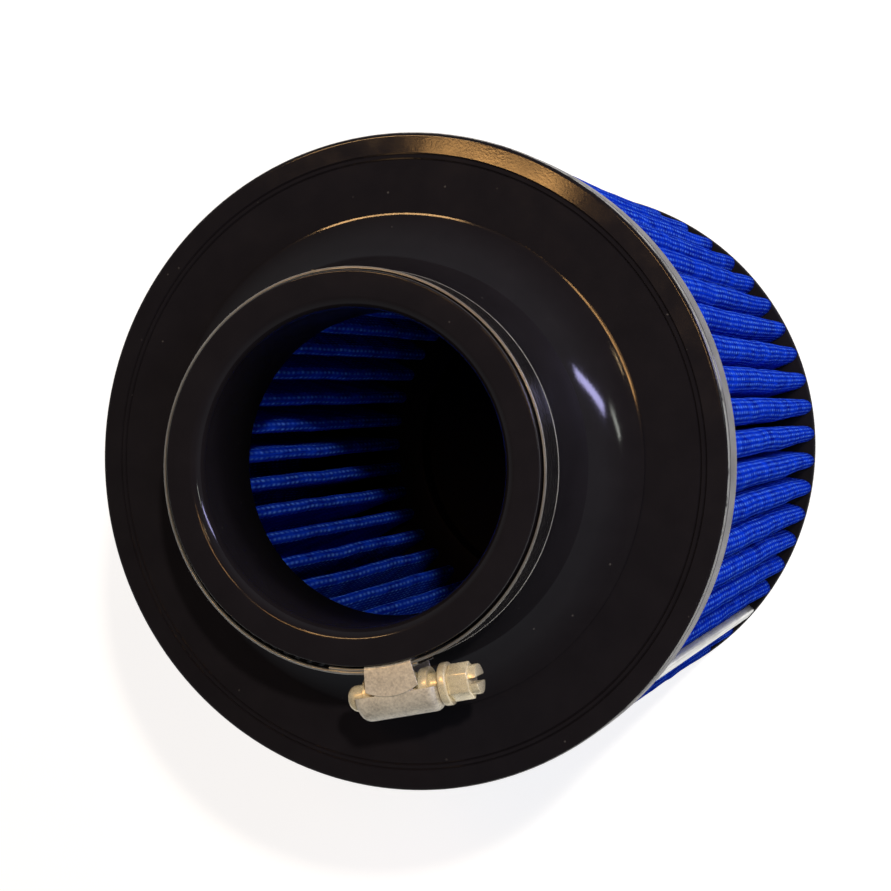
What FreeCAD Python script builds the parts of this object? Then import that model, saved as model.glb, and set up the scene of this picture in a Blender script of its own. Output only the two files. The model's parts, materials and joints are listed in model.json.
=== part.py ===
import FreeCAD, Part
import math
import os
import Sketcher

# Cylindrical air filter with a worm clamp, in millimetres. It stands on its closed end with the
# neck up: Z is the filter's axis, and the origin is the middle of the closed face.

DOC = FreeCAD.newDocument("air_filter")
SHEET = DOC.addObject("Spreadsheet::Sheet", "Sizes")

SIZES = [
    # Moulded base: disc, flared shoulder and neck
    ("body_length", "170"),         # closed face to the front of the base disc
    ("base_radius", "84"),
    ("rim_height", "13"),           # side wall of the base
    ("rim_fall", "0.5"),            # how far the outer ring of the disc slopes away
    ("rim_edge", "0.9"),
    ("rim_width", "5.55"),          # outer ring of the disc, out from its groove
    ("ring_line_step", "1.3"),      # between the two fine grooves that part the ring from the disc
    ("ring_line_half", "0.3"),
    ("ring_line_depth", "0.4"),
    ("wall_line_drop", "2.4"),      # fine groove round the side wall, down from its front edge
    ("wall_line_half", "0.4"),
    ("wall_line_depth", "0.35"),
    ("crease_radius", "63.4"),      # where the shoulder ends on the disc
    ("crease_step", "0.9"),
    ("flare_radius", "23"),
    ("neck_radius", "47"),
    ("neck_height", "39"),
    ("neck_edge", "0.5"),
    ("bore_radius", "38"),
    ("bore_length", "30.5"),
    ("bore_lip", "3.6"),
    ("throat_radius", "51.5"),      # inside of the base where the pleats are cast in
    ("throat_height", "3"),
    ("base_pot_depth", "7"),
    # End cap
    ("cap_height", "2.6"),          # at the rim
    ("cap_crest", "11"),            # the cast rubber stands higher towards the inside
    ("cap_crest_radius", "57"),
    ("cap_edge", "1.2"),
    ("cap_floor", "3"),
    ("cap_well_radius", "46"),
    ("cap_pot_depth", "1.2"),
    # Pleated sheet
    ("pleat_setback", "0.6"),       # outer folds, in from the mouldings' edge
    ("fold_setback", "2.5"),        # inner folds, out from the throat
    ("pleat_count", "50"),
    ("pleat_crowding", "0.15"),     # share by which the pleats sit closer on the +X side
    ("sheet_thickness", "1.2"),
    ("ridge_gap", "1.6"),           # between neighbouring outer folds
    ("fold_gap", "4.2"),            # between neighbouring inner folds
    ("smallest_fold", "0.15"),      # inside radius that no fold goes under
    ("fold_flats", "4"),            # the inside of a fold, deep between two legs, is this many flats
    ("pot_clearance", "0.05"),
    # Seam clip
    ("seam_angle", "-41"),
    ("seam_leg_gap", "0.4"),        # between the two ends of the sheet
    ("clip_setback", "0.3"),        # the clip's face, in from the mouldings' edge
    ("clip_wall", "0.4"),
    ("clip_depth", "2.5"),
    ("clip_clearance", "0.2"),
    # Clamp band: its fixed end lies inside, its slotted tail outside
    ("clamp_turn", "11"),           # housing's turn about the axis, from -Y
    ("band_width", "12"),
    ("band_thickness", "0.65"),
    ("band_setback", "1.5"),        # from the neck's face
    ("band_slack", "0.35"),         # the clamp is loose on the neck
    ("band_touch", "0.1"),          # gap left where the loose band hangs on the neck
    ("band_lip_width", "1.4"),
    ("band_lip_rise", "0.25"),
    ("layer_step", "0.75"),         # from the fixed end to the tail that lies on it
    ("tongue_angle", "18"),
    ("tail_angle", "9"),
    ("slot_width", "1.3"),
    ("slot_length", "7.4"),
    ("slot_lean", "1"),
    ("slot_step", "3.75"),          # degrees
    ("slot_count", "22"),
    # Clamp saddle and housing
    ("saddle_wall", "0.4"),
    ("saddle_clearance", "0.05"),
    ("saddle_angle", "14.5"),
    ("saddle_reach", "5.75"),
    ("housing_length", "21"),
    ("housing_radius", "6"),
    ("housing_wall", "0.8"),
    ("housing_end", "2"),
    ("housing_corner", "2.5"),
    ("housing_sill", "0.4"),        # barrel's edges, from the screw's axis towards the band
    # Clamp screw
    ("thread_radius", "4.7"),
    ("thread_depth", "1.2"),
    ("thread_pitch", "3.2"),
    ("thread_count", "4"),
    ("thread_clearance", "0.85"),
    ("journal_radius", "3.2"),
    ("journal_clearance", "0.08"),
    ("end_play", "0.35"),
    ("tip_length", "2.7"),
    ("tip_rounding", "2.2"),
    ("collar_radius", "5.2"),
    ("collar_length", "2"),
    ("hex_across", "8"),
    ("hex_length", "5.3"),
    ("hex_edge", "0.5"),
    ("crown_radius", "3.6"),
    ("crown_length", "2"),
    ("drive_slot_width", "1.4"),
    ("drive_slot_depth", "2.4"),
]

# Places and sizes that follow from those above
DERIVED = [
    ("neck_top", "=body_length + neck_height"),
    ("base_bottom", "=body_length - rim_height"),
    ("rim_shoulder", "=body_length - rim_fall"),
    ("wall_line", "=rim_shoulder - wall_line_drop"),
    ("wall_line_top", "=wall_line + wall_line_half"),
    ("wall_line_bottom", "=wall_line - wall_line_half"),
    ("wall_line_floor", "=base_radius - wall_line_depth"),
    ("ring_line_outer", "=base_radius - rim_width"),
    ("ring_line_inner", "=ring_line_outer - ring_line_step"),
    ("crease_top", "=body_length + crease_step"),
    ("flare_top", "=crease_top + sqrt(flare_radius^2 - (neck_radius + flare_radius - crease_radius)^2)"),
    ("bore_bottom", "=neck_top - bore_length"),
    ("throat_top", "=base_bottom + throat_height"),
    ("groove_bottom", "=body_length - ring_line_depth"),
    ("inner_line_start", "=ring_line_inner - ring_line_half"),
    ("inner_line_end", "=ring_line_inner + ring_line_half"),
    ("outer_line_start", "=ring_line_outer - ring_line_half"),
    ("outer_line_end", "=ring_line_outer + ring_line_half"),
    ("pleat_bottom", "=cap_height - cap_pot_depth"),
    ("pleat_top", "=base_bottom + base_pot_depth"),
    ("pleat_outer_radius", "=base_radius - pleat_setback"),
    ("pleat_inner_radius", "=throat_radius + fold_setback"),
    ("clip_outer_radius", "=base_radius - clip_setback"),
    ("clip_inner_face", "=clip_outer_radius - clip_wall"),
    ("clip_end", "=clip_outer_radius - clip_depth"),
    ("cap_slope", "=(cap_crest - cap_height) / (base_radius - cap_crest_radius)"),
    ("clip_bottom", "=cap_height + cap_slope * (base_radius - clip_end) + pot_clearance"),
    ("clip_length", "=base_bottom - clip_bottom"),
    ("clip_half_inner", "=seam_leg_gap / 2 + sheet_thickness + clip_clearance"),
    ("clip_half_outer", "=clip_half_inner + clip_wall"),
    ("half_step", "=layer_step / 2"),
    ("half_band", "=band_width / 2"),
    ("half_flat", "=half_band - band_lip_width"),
    ("band_inner", "=neck_radius + band_slack + half_step"),
    ("band_outer", "=band_inner + band_thickness"),
    ("lip_inner", "=band_inner + band_lip_rise"),
    ("lip_outer", "=lip_inner + band_thickness"),
    ("band_turn", "=180 + tongue_angle"),
    ("tail_turn", "=180 + tail_angle"),
    ("slot_start", "=band_inner - layer_step + band_thickness + (layer_step - band_thickness) / 2"),
    ("slot_depth", "=layer_step + band_lip_rise"),
    ("half_slot", "=slot_width / 2"),
    ("half_slot_length", "=slot_length / 2"),
    ("half_lean", "=slot_lean / 2"),
    ("slot_near_right", "=half_slot - half_lean"),
    ("slot_near_left", "=half_slot + half_lean"),
    ("saddle_outer_face", "=band_inner - layer_step - saddle_clearance"),
    ("saddle_inner_face", "=saddle_outer_face - saddle_wall"),
    ("saddle_half_inner", "=half_band + saddle_clearance"),
    ("saddle_half_outer", "=saddle_half_inner + saddle_wall"),
    ("saddle_end", "=band_outer + saddle_reach"),
    ("screw_axis", "=band_outer + thread_clearance + thread_radius"),
    ("housing_foot", "=screw_axis - housing_sill"),
    ("housing_inner_radius", "=housing_radius - housing_wall"),
    ("cavity_length", "=housing_length - 2 * housing_end"),
    ("half_housing", "=housing_length / 2"),
    ("bearing_radius", "=journal_radius + journal_clearance"),
    ("thread_end", "=cavity_length / 2 - end_play"),
    ("tip_end", "=half_housing + tip_length"),
    ("collar_start", "=half_housing + end_play"),
    ("collar_end", "=collar_start + collar_length"),
    ("hex_end", "=collar_end + hex_length"),
    ("crown_end", "=hex_end + crown_length"),
    ("hex_flat", "=hex_across / 2"),
    ("hex_corner", "=hex_across / sqrt(3)"),
    ("hex_half_corner", "=hex_corner / 2"),
    ("hex_clear", "=hex_corner + hex_edge"),
    ("hex_cone_start", "=hex_end - hex_edge"),
    ("half_drive_slot", "=drive_slot_width / 2"),
    ("thread_root", "=thread_radius - thread_depth"),
    ("half_pitch", "=thread_pitch / 2"),
    ("first_groove", "=-thread_pitch * (thread_count - 1) / 2"),
    ("first_groove_start", "=first_groove - half_pitch * 0.8"),
    ("first_groove_end", "=first_groove + half_pitch * 0.8"),
    ("band_middle", "=neck_top - band_setback - half_band"),
    ("clamp_shift", "=band_slack - band_touch + half_step"),
    ("clamp_x", "=clamp_shift * sin(clamp_turn)"),
    ("clamp_y", "=-clamp_shift * cos(clamp_turn)"),
    ("screw_x", "=(clamp_shift + screw_axis) * sin(clamp_turn)"),
    ("screw_y", "=-(clamp_shift + screw_axis) * cos(clamp_turn)"),
]


def fill_sheet():
    """Write every driving size and every size that follows from them."""
    for row, (alias, value) in enumerate(SIZES + DERIVED, start=1):
        SHEET.set(f"A{row}", alias)
        SHEET.set(f"B{row}", value)
        SHEET.setAlias(f"B{row}", alias)
    DOC.recompute()


def size(alias):
    """Number behind an alias, or its negative where the alias starts with a minus."""
    if alias.startswith("-"):
        return -size(alias[1:])
    return float(SHEET.get(alias))


def formula(alias):
    """Expression that follows a cell of the sheet."""
    if alias.startswith("-"):
        return f"-Sizes.{alias[1:]}"
    return f"Sizes.{alias}"


def bind(target, prop, alias):
    target.setExpression(prop, formula(alias))


def new_body(name):
    body = DOC.addObject("PartDesign::Body", name)
    body.Label = name
    return body


def new_sketch(body, name, plane, offset=None):
    """Sketch on one of the body's own origin planes, moved along its normal by a named size."""
    sketch = body.newObject("Sketcher::SketchObject", name)
    support = [item for item in body.Origin.OriginFeatures if item.Role == plane][0]
    sketch.AttachmentSupport = [(support, "")]
    sketch.MapMode = "FlatFace"
    if offset:
        bind(sketch, "AttachmentOffset.Base.z", offset)
    return sketch


def fix_point(sketch, geometry, position, corner, tag):
    """Hold a point at the sizes named for its two coordinates. None puts it on the axis."""
    point = sketch.getPoint(geometry, position)
    for axis, alias, line, now in (("X", corner[0], -2, point.x), ("Y", corner[1], -1, point.y)):
        if alias is None:
            sketch.addConstraint(Sketcher.Constraint("PointOnObject", geometry, position, line))
            continue
        index = sketch.addConstraint(
            Sketcher.Constraint(f"Distance{axis}", -1, 1, geometry, position, now))
        name = f"{tag}_{axis.lower()}"
        sketch.renameConstraint(index, name)
        bind(sketch, f"Constraints.{name}", alias)


def place(corner):
    """Point that a pair of aliases stands for."""
    across, up = (0.0 if alias is None else size(alias) for alias in corner)
    return FreeCAD.Vector(across, up, 0)


def arc_between(start, end, radius, side):
    """Arc of the radius whose centre lies left (+1) or right (-1) of the way from start to end."""
    chord = end - start
    rise = math.sqrt(max(radius ** 2 - (chord.Length / 2) ** 2, 0.0))
    left = FreeCAD.Vector(-chord.y, chord.x, 0).normalize()
    centre = start + chord * 0.5 + left * (side * rise)
    first, last = (start, end) if side > 0 else (end, start)
    begin = math.atan2(first.y - centre.y, first.x - centre.x)
    finish = math.atan2(last.y - centre.y, last.x - centre.x)
    circle = Part.Circle(centre, FreeCAD.Vector(0, 0, 1), radius)
    return Part.ArcOfCircle(circle, begin, finish)


def add_loop(sketch, corners, arcs=None):
    """Closed outline through named corners. arcs gives (radius alias, side) by corner index."""
    arcs = arcs or {}
    ends = []
    for index, corner in enumerate(corners):
        start = place(corner)
        end = place(corners[(index + 1) % len(corners)])
        if index in arcs:
            radius, side = arcs[index]
            geometry = sketch.addGeometry(arc_between(start, end, size(radius), side))
            ends.append((geometry, 1, 2) if side > 0 else (geometry, 2, 1))
        else:
            geometry = sketch.addGeometry(Part.LineSegment(start, end))
            ends.append((geometry, 1, 2))
    for index, (geometry, _, tail) in enumerate(ends):
        following, head, _ = ends[(index + 1) % len(ends)]
        sketch.addConstraint(Sketcher.Constraint("Coincident", geometry, tail, following, head))
    for index, corner in enumerate(corners):
        geometry, head, _ = ends[index]
        fix_point(sketch, geometry, head, corner, f"corner{geometry}")
    for index, (radius, _) in arcs.items():
        geometry = ends[index][0]
        level = corners[index][0]
        if level == corners[(index + 1) % len(corners)][0]:
            # A half round over two ends: its radius follows from them, and its centre is held
            row = sketch.addConstraint(
                Sketcher.Constraint("DistanceX", -1, 1, geometry, 3, size(level)))
            sketch.renameConstraint(row, f"centre{geometry}")
            bind(sketch, f"Constraints.centre{geometry}", level)
        else:
            row = sketch.addConstraint(Sketcher.Constraint("Radius", geometry, size(radius)))
            sketch.renameConstraint(row, f"radius{geometry}")
            bind(sketch, f"Constraints.radius{geometry}", radius)


def add_circle(sketch, radius):
    """Circle round the sketch's origin."""
    circle = Part.Circle(FreeCAD.Vector(0, 0, 0), FreeCAD.Vector(0, 0, 1), size(radius))
    geometry = sketch.addGeometry(circle)
    sketch.addConstraint(Sketcher.Constraint("Coincident", geometry, 3, -1, 1))
    row = sketch.addConstraint(Sketcher.Constraint("Radius", geometry, size(radius)))
    sketch.renameConstraint(row, f"radius{geometry}")
    bind(sketch, f"Constraints.radius{geometry}", radius)


def add_axis(sketch, alias):
    """Upright construction line, moved sideways by a named size, to turn a profile about."""
    foot = FreeCAD.Vector(size(alias), 0, 0)
    geometry = sketch.addGeometry(Part.LineSegment(foot, foot + FreeCAD.Vector(0, 10, 0)), True)
    fix_point(sketch, geometry, 1, (alias, None), f"corner{geometry}")
    sketch.addConstraint(Sketcher.Constraint("Vertical", geometry))
    sketch.addConstraint(Sketcher.Constraint("Distance", geometry, 10))


def feature(body, kind, name, sketch, **settings):
    """Feature of the body that works on a sketch, with its settings."""
    made = body.newObject(f"PartDesign::{kind}", name)
    made.Profile = (sketch, [""])
    for prop, value in settings.items():
        setattr(made, prop, value)
    sketch.Visibility = False
    return made


def rounded(body, base, name, alias, wanted):
    """Fillet on the edges of the base feature that the test picks out."""
    DOC.recompute()
    names = [f"Edge{i}" for i, edge in enumerate(base.Shape.Edges, start=1) if wanted(edge)]
    made = body.newObject("PartDesign::Fillet", name)
    made.Base = (base, names)
    bind(made, "Radius", alias)
    return made


def ring_edge(radius, level):
    """Test for the round edge about Z with the radius and level named."""
    def wanted(edge):
        curve = edge.Curve
        return (isinstance(curve, Part.Circle)
                and abs(curve.Radius - size(radius)) < 1e-4
                and abs(curve.Center.z - size(level)) < 1e-4)
    return wanted


def put_on_clamp(item):
    """Give a piece the clamp's own place on the neck."""
    bind(item, "Placement.Base.x", "clamp_x")
    bind(item, "Placement.Base.y", "clamp_y")
    bind(item, "Placement.Base.z", "band_middle")
    item.Placement.Rotation.Axis = FreeCAD.Vector(0, 0, 1)
    bind(item, "Placement.Rotation.Angle", "clamp_turn")


def turned(angle):
    """Unit vector at an angle in the plane of the pleats."""
    return FreeCAD.Vector(math.cos(angle), math.sin(angle), 0)


class Pleats:
    """Course of the folded sheet: one end at the seam, a fold at a time round to the other end."""

    def __init__(self):
        self.count = int(size("pleat_count"))
        self.half = size("sheet_thickness") / 2
        self.crowding = size("pleat_crowding")
        seam = math.radians(size("seam_angle"))
        self.start = seam
        for _ in range(40):
            self.start = seam + self.crowding * math.sin(self.start)
        self.bends = self.list_bends()
        self.legs = self.list_legs()

    def angle(self, step):
        """Direction of an outer fold (whole step) or of the inner fold between two (half step)."""
        even = self.start + 2 * math.pi * step / self.count
        return even - self.crowding * math.sin(even)

    def bend(self, step, outward):
        """Centre and middle radius of a fold that fills its share of the ring but for the gap."""
        share = self.angle(step + 0.5) - self.angle(step - 0.5)
        smallest = 2 * self.half + size("smallest_fold")
        if outward:
            radius = (share * size("pleat_outer_radius") - size("ridge_gap")) / (2 + share)
            radius = max(radius, smallest)
            reach = size("pleat_outer_radius") - radius
        else:
            radius = (share * size("pleat_inner_radius") - size("fold_gap")) / (2 - share)
            radius = max(radius, smallest)
            reach = size("pleat_inner_radius") + radius
        direction = turned(self.angle(step))
        return direction * reach, radius - self.half, direction if outward else -direction

    def list_bends(self):
        """End of the sheet, inner fold, outer fold, inner fold and so on, to the other end."""
        seam = turned(self.angle(0))
        aside = FreeCAD.Vector(-seam.y, seam.x, 0) * (size("seam_leg_gap") / 2 + self.half)
        tip = seam * (size("clip_inner_face") - size("clip_clearance"))
        bends = [(tip + aside, 0.0, None)]
        for step in range(self.count):
            bends.append(self.bend(step + 0.5, False))
            if step + 1 < self.count:
                bends.append(self.bend(step + 1, True))
        bends.append((tip - aside, 0.0, None))
        return bends

    def list_legs(self):
        """Direction square to each straight leg: the line that crosses between two folds."""
        legs = []
        for index in range(len(self.bends) - 1):
            here, here_radius, _ = self.bends[index]
            there, there_radius, _ = self.bends[index + 1]
            way = there - here
            lean = math.acos((here_radius + there_radius) / way.Length)
            heading = math.atan2(way.y, way.x)
            legs.append(turned(heading - lean if index % 2 == 0 else heading + lean))
        return legs

    def side(self, offset):
        """Edges of one face of the sheet. The offset is to the left of the course, the inside."""
        points = []
        for index, square in enumerate(self.legs):
            turn = 1 if index % 2 == 0 else -1
            here, here_radius, _ = self.bends[index]
            there, there_radius, _ = self.bends[index + 1]
            points.append((here + square * (here_radius - turn * offset),
                           there - square * (there_radius + turn * offset)))
        edges = [Part.LineSegment(*points[0]).toShape()]
        for index in range(1, len(points)):
            centre, radius, outward = self.bends[index]
            turn = 1 if index % 2 == 0 else -1
            top = centre + outward * (radius - turn * offset)
            fold = Part.Arc(points[index - 1][1], top, points[index][0]).toShape()
            if turn * offset > 0:
                corners = fold.discretize(Number=int(size("fold_flats")) + 1)
                edges += Part.makePolygon(corners).Edges
            else:
                edges.append(fold)
            edges.append(Part.LineSegment(*points[index]).toShape())
        return edges, points[0][0], points[-1][1]

    def block(self, bottom, top, extra=0.0):
        """The folded sheet as a solid, made thicker on each face by the extra."""
        outside, first, last = self.side(-self.half - extra)
        inside, first_inside, last_inside = self.side(self.half + extra)
        closing = [Part.LineSegment(last, last_inside).toShape()]
        closing += reversed(inside)
        closing.append(Part.LineSegment(first_inside, first).toShape())
        face = Part.Face(Part.Wire(outside + closing))
        solid = face.extrude(FreeCAD.Vector(0, 0, top - bottom))
        solid.translate(FreeCAD.Vector(0, 0, bottom))
        return solid


def code_shape(name, shape):
    item = DOC.addObject("Part::Feature", name)
    item.Shape = shape
    item.Label = name
    return item


def cut_out(name, base, tool):
    item = DOC.addObject("Part::Cut", name)
    item.Base = base
    item.Tool = tool
    item.Label = name
    return item


def make_base(pleats):
    """Disc, shoulder and neck turned as one, with the pleats' own shape cast into its underside."""
    body = new_body("base_moulding")
    sketch = new_sketch(body, "base_profile", "XZ_Plane")
    add_loop(sketch, [
        ("throat_radius", "base_bottom"),
        ("base_radius", "base_bottom"),
        ("base_radius", "rim_shoulder"),
        ("outer_line_end", "body_length"),
        ("crease_radius", "body_length"),
        ("crease_radius", "crease_top"),
        ("neck_radius", "flare_top"),
        ("neck_radius", "neck_top"),
        ("bore_radius", "neck_top"),
        ("bore_radius", "bore_bottom"),
        ("throat_radius", "throat_top"),
    ], {5: ("flare_radius", -1)})
    feature(body, "Revolution", "base_turned", sketch,
            ReferenceAxis=(sketch, ["V_Axis"]), Angle=360)
    lines = new_sketch(body, "ring_lines", "XZ_Plane")
    for which in ("inner", "outer"):
        add_loop(lines, [
            (f"{which}_line_start", "body_length"),
            (f"ring_line_{which}", "groove_bottom"),
            (f"{which}_line_end", "body_length"),
        ])
    add_loop(lines, [
        ("base_radius", "wall_line_bottom"),
        ("base_radius", "wall_line_top"),
        ("wall_line_floor", "wall_line"),
    ])
    DOC.recompute()
    grooved = feature(body, "Groove", "ring_grooves", lines,
                      ReferenceAxis=(lines, ["V_Axis"]), Angle=360)
    edge = rounded(body, grooved, "rim_rounding", "rim_edge",
                   ring_edge("base_radius", "rim_shoulder"))
    neck = rounded(body, edge, "neck_rounding", "neck_edge",
                   ring_edge("neck_radius", "neck_top"))
    lip = rounded(body, neck, "lip_rounding", "bore_lip",
                  ring_edge("bore_radius", "neck_top"))
    body.Tip = lip
    below = size("base_bottom") - 1
    above = size("pleat_top") + size("pot_clearance")
    pocket = code_shape("base_pocket", pleats.block(below, above, size("pot_clearance")))
    return cut_out("base_flange", body, pocket)


def make_cap(pleats):
    """Closing disc with a well inside, a rim that rises inwards and the pleats cast into it."""
    body = new_body("cap_moulding")
    sketch = new_sketch(body, "cap_profile", "XZ_Plane")
    add_loop(sketch, [
        (None, None),
        ("base_radius", None),
        ("base_radius", "cap_height"),
        ("cap_crest_radius", "cap_crest"),
        ("cap_well_radius", "cap_crest"),
        ("cap_well_radius", "cap_floor"),
        (None, "cap_floor"),
    ])
    turned_cap = feature(body, "Revolution", "cap_turned", sketch,
                         ReferenceAxis=(sketch, ["V_Axis"]), Angle=360)

    def lower_edge(edge):
        return (isinstance(edge.Curve, Part.Circle)
                and abs(edge.Curve.Radius - size("base_radius")) < 1e-4
                and abs(edge.Curve.Center.z) < 1e-4)

    body.Tip = rounded(body, turned_cap, "cap_rounding", "cap_edge", lower_edge)
    below = size("pleat_bottom") - size("pot_clearance")
    above = size("cap_crest") + 1
    pocket = code_shape("cap_pocket", pleats.block(below, above, size("pot_clearance")))
    return cut_out("end_cap", body, pocket)


def make_media(pleats):
    """Folded sheet, cast into the base above and the cap below."""
    return code_shape("pleated_media", pleats.block(size("pleat_bottom"), size("pleat_top")))


def make_clip():
    """Channel over the two ends of the sheet, between the two mouldings."""
    body = new_body("seam_clip")
    sketch = new_sketch(body, "clip_profile", "XY_Plane")
    add_loop(sketch, [
        ("clip_end", "-clip_half_outer"),
        ("clip_outer_radius", "-clip_half_outer"),
        ("clip_outer_radius", "clip_half_outer"),
        ("clip_end", "clip_half_outer"),
        ("clip_end", "clip_half_inner"),
        ("clip_inner_face", "clip_half_inner"),
        ("clip_inner_face", "-clip_half_inner"),
        ("clip_end", "-clip_half_inner"),
    ])
    pad = feature(body, "Pad", "clip_length", sketch)
    bind(pad, "Length", "clip_length")
    bind(body, "Placement.Base.z", "clip_bottom")
    body.Placement.Rotation.Axis = FreeCAD.Vector(0, 0, 1)
    bind(body, "Placement.Rotation.Angle", "seam_angle")
    return body


def band_profile(body, name):
    """Section of the band at its top: flat in the middle, with both edges turned out."""
    sketch = new_sketch(body, name, "YZ_Plane")
    add_loop(sketch, [
        ("lip_inner", "-half_band"),
        ("lip_outer", "-half_band"),
        ("band_outer", "-half_flat"),
        ("band_outer", "half_flat"),
        ("lip_outer", "half_band"),
        ("lip_inner", "half_band"),
        ("band_inner", "half_flat"),
        ("band_inner", "-half_flat"),
    ])
    return sketch


def make_band():
    """Two turned halves that overlap under the housing, with slots through the outer one."""
    body = new_body("clamp_band")
    tail_sketch = band_profile(body, "tail_profile")
    tail = feature(body, "Revolution", "tail_half", tail_sketch,
                   ReferenceAxis=(tail_sketch, ["V_Axis"]))
    bind(tail, "Angle", "tail_turn")
    DOC.recompute()
    fixed_sketch = band_profile(body, "fixed_profile")
    add_axis(fixed_sketch, "half_step")
    fixed = feature(body, "Revolution", "fixed_half", fixed_sketch,
                    ReferenceAxis=(fixed_sketch, ["Axis0"]), Reversed=True)
    bind(fixed, "Angle", "band_turn")
    DOC.recompute()
    slot_sketch = new_sketch(body, "slot_outline", "XZ_Plane", "slot_start")
    add_loop(slot_sketch, [
        ("-slot_near_left", "-half_slot_length"),
        ("slot_near_right", "-half_slot_length"),
        ("slot_near_left", "half_slot_length"),
        ("-slot_near_right", "half_slot_length"),
    ])
    slot = feature(body, "Pocket", "slot", slot_sketch, Reversed=True)
    bind(slot, "Length", "slot_depth")
    DOC.recompute()
    row = body.newObject("PartDesign::PolarPattern", "slot_row")
    row.Originals = [slot]
    row.Axis = ([item for item in body.Origin.OriginFeatures if item.Role == "Z_Axis"][0], [""])
    row.Mode = "Spacing"
    row.Reversed = True
    bind(row, "Offset", "slot_step")
    bind(row, "Occurrences", "slot_count")
    body.Tip = row
    put_on_clamp(body)
    return body


def make_saddle():
    """Strap bent along the band: under the fixed end and up both sides of the housing."""
    body = new_body("clamp_saddle")
    sketch = new_sketch(body, "saddle_profile", "YZ_Plane")
    add_loop(sketch, [
        ("-saddle_end", "-saddle_half_outer"),
        ("-saddle_inner_face", "-saddle_half_outer"),
        ("-saddle_inner_face", "saddle_half_outer"),
        ("-saddle_end", "saddle_half_outer"),
        ("-saddle_end", "saddle_half_inner"),
        ("-saddle_outer_face", "saddle_half_inner"),
        ("-saddle_outer_face", "-saddle_half_inner"),
        ("-saddle_end", "-saddle_half_inner"),
    ])
    strap = feature(body, "Revolution", "saddle_bent", sketch,
                    ReferenceAxis=(sketch, ["V_Axis"]), Midplane=True)
    bind(strap, "Angle", "saddle_angle")
    put_on_clamp(body)
    return body


def arch(sketch, radius):
    """Short upright walls from the housing's edges with a half round over the screw."""
    add_loop(sketch, [
        ("-housing_foot", f"-{radius}"),
        ("-housing_foot", radius),
        ("-screw_axis", radius),
        ("-screw_axis", f"-{radius}"),
    ], {2: (radius, 1)})


def make_housing():
    """Barrel with rounded ends, hollow over the screw, with a bearing hole through each end."""
    body = new_body("clamp_housing")
    outline = new_sketch(body, "housing_outline", "YZ_Plane")
    arch(outline, "housing_radius")
    block = feature(body, "Pad", "housing_block", outline, SideType="Symmetric")
    bind(block, "Length", "housing_length")

    def end_arc(edge):
        return (isinstance(edge.Curve, Part.Circle)
                and abs(edge.Curve.Radius - size("housing_radius")) < 1e-4)

    soft = rounded(body, block, "housing_rounding", "housing_corner", end_arc)
    inside = new_sketch(body, "housing_inside", "YZ_Plane")
    arch(inside, "housing_inner_radius")
    DOC.recompute()
    cavity = feature(body, "Pocket", "housing_cavity", inside, SideType="Symmetric")
    bind(cavity, "Length", "cavity_length")
    DOC.recompute()
    bearing = new_sketch(body, "bearing_outline", "YZ_Plane")
    bind(bearing, "AttachmentOffset.Base.x", "-screw_axis")
    add_circle(bearing, "bearing_radius")
    holes = feature(body, "Pocket", "bearing_holes", bearing, SideType="Symmetric")
    bind(holes, "Length", "housing_length")
    body.Tip = holes
    put_on_clamp(body)
    return body


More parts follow.
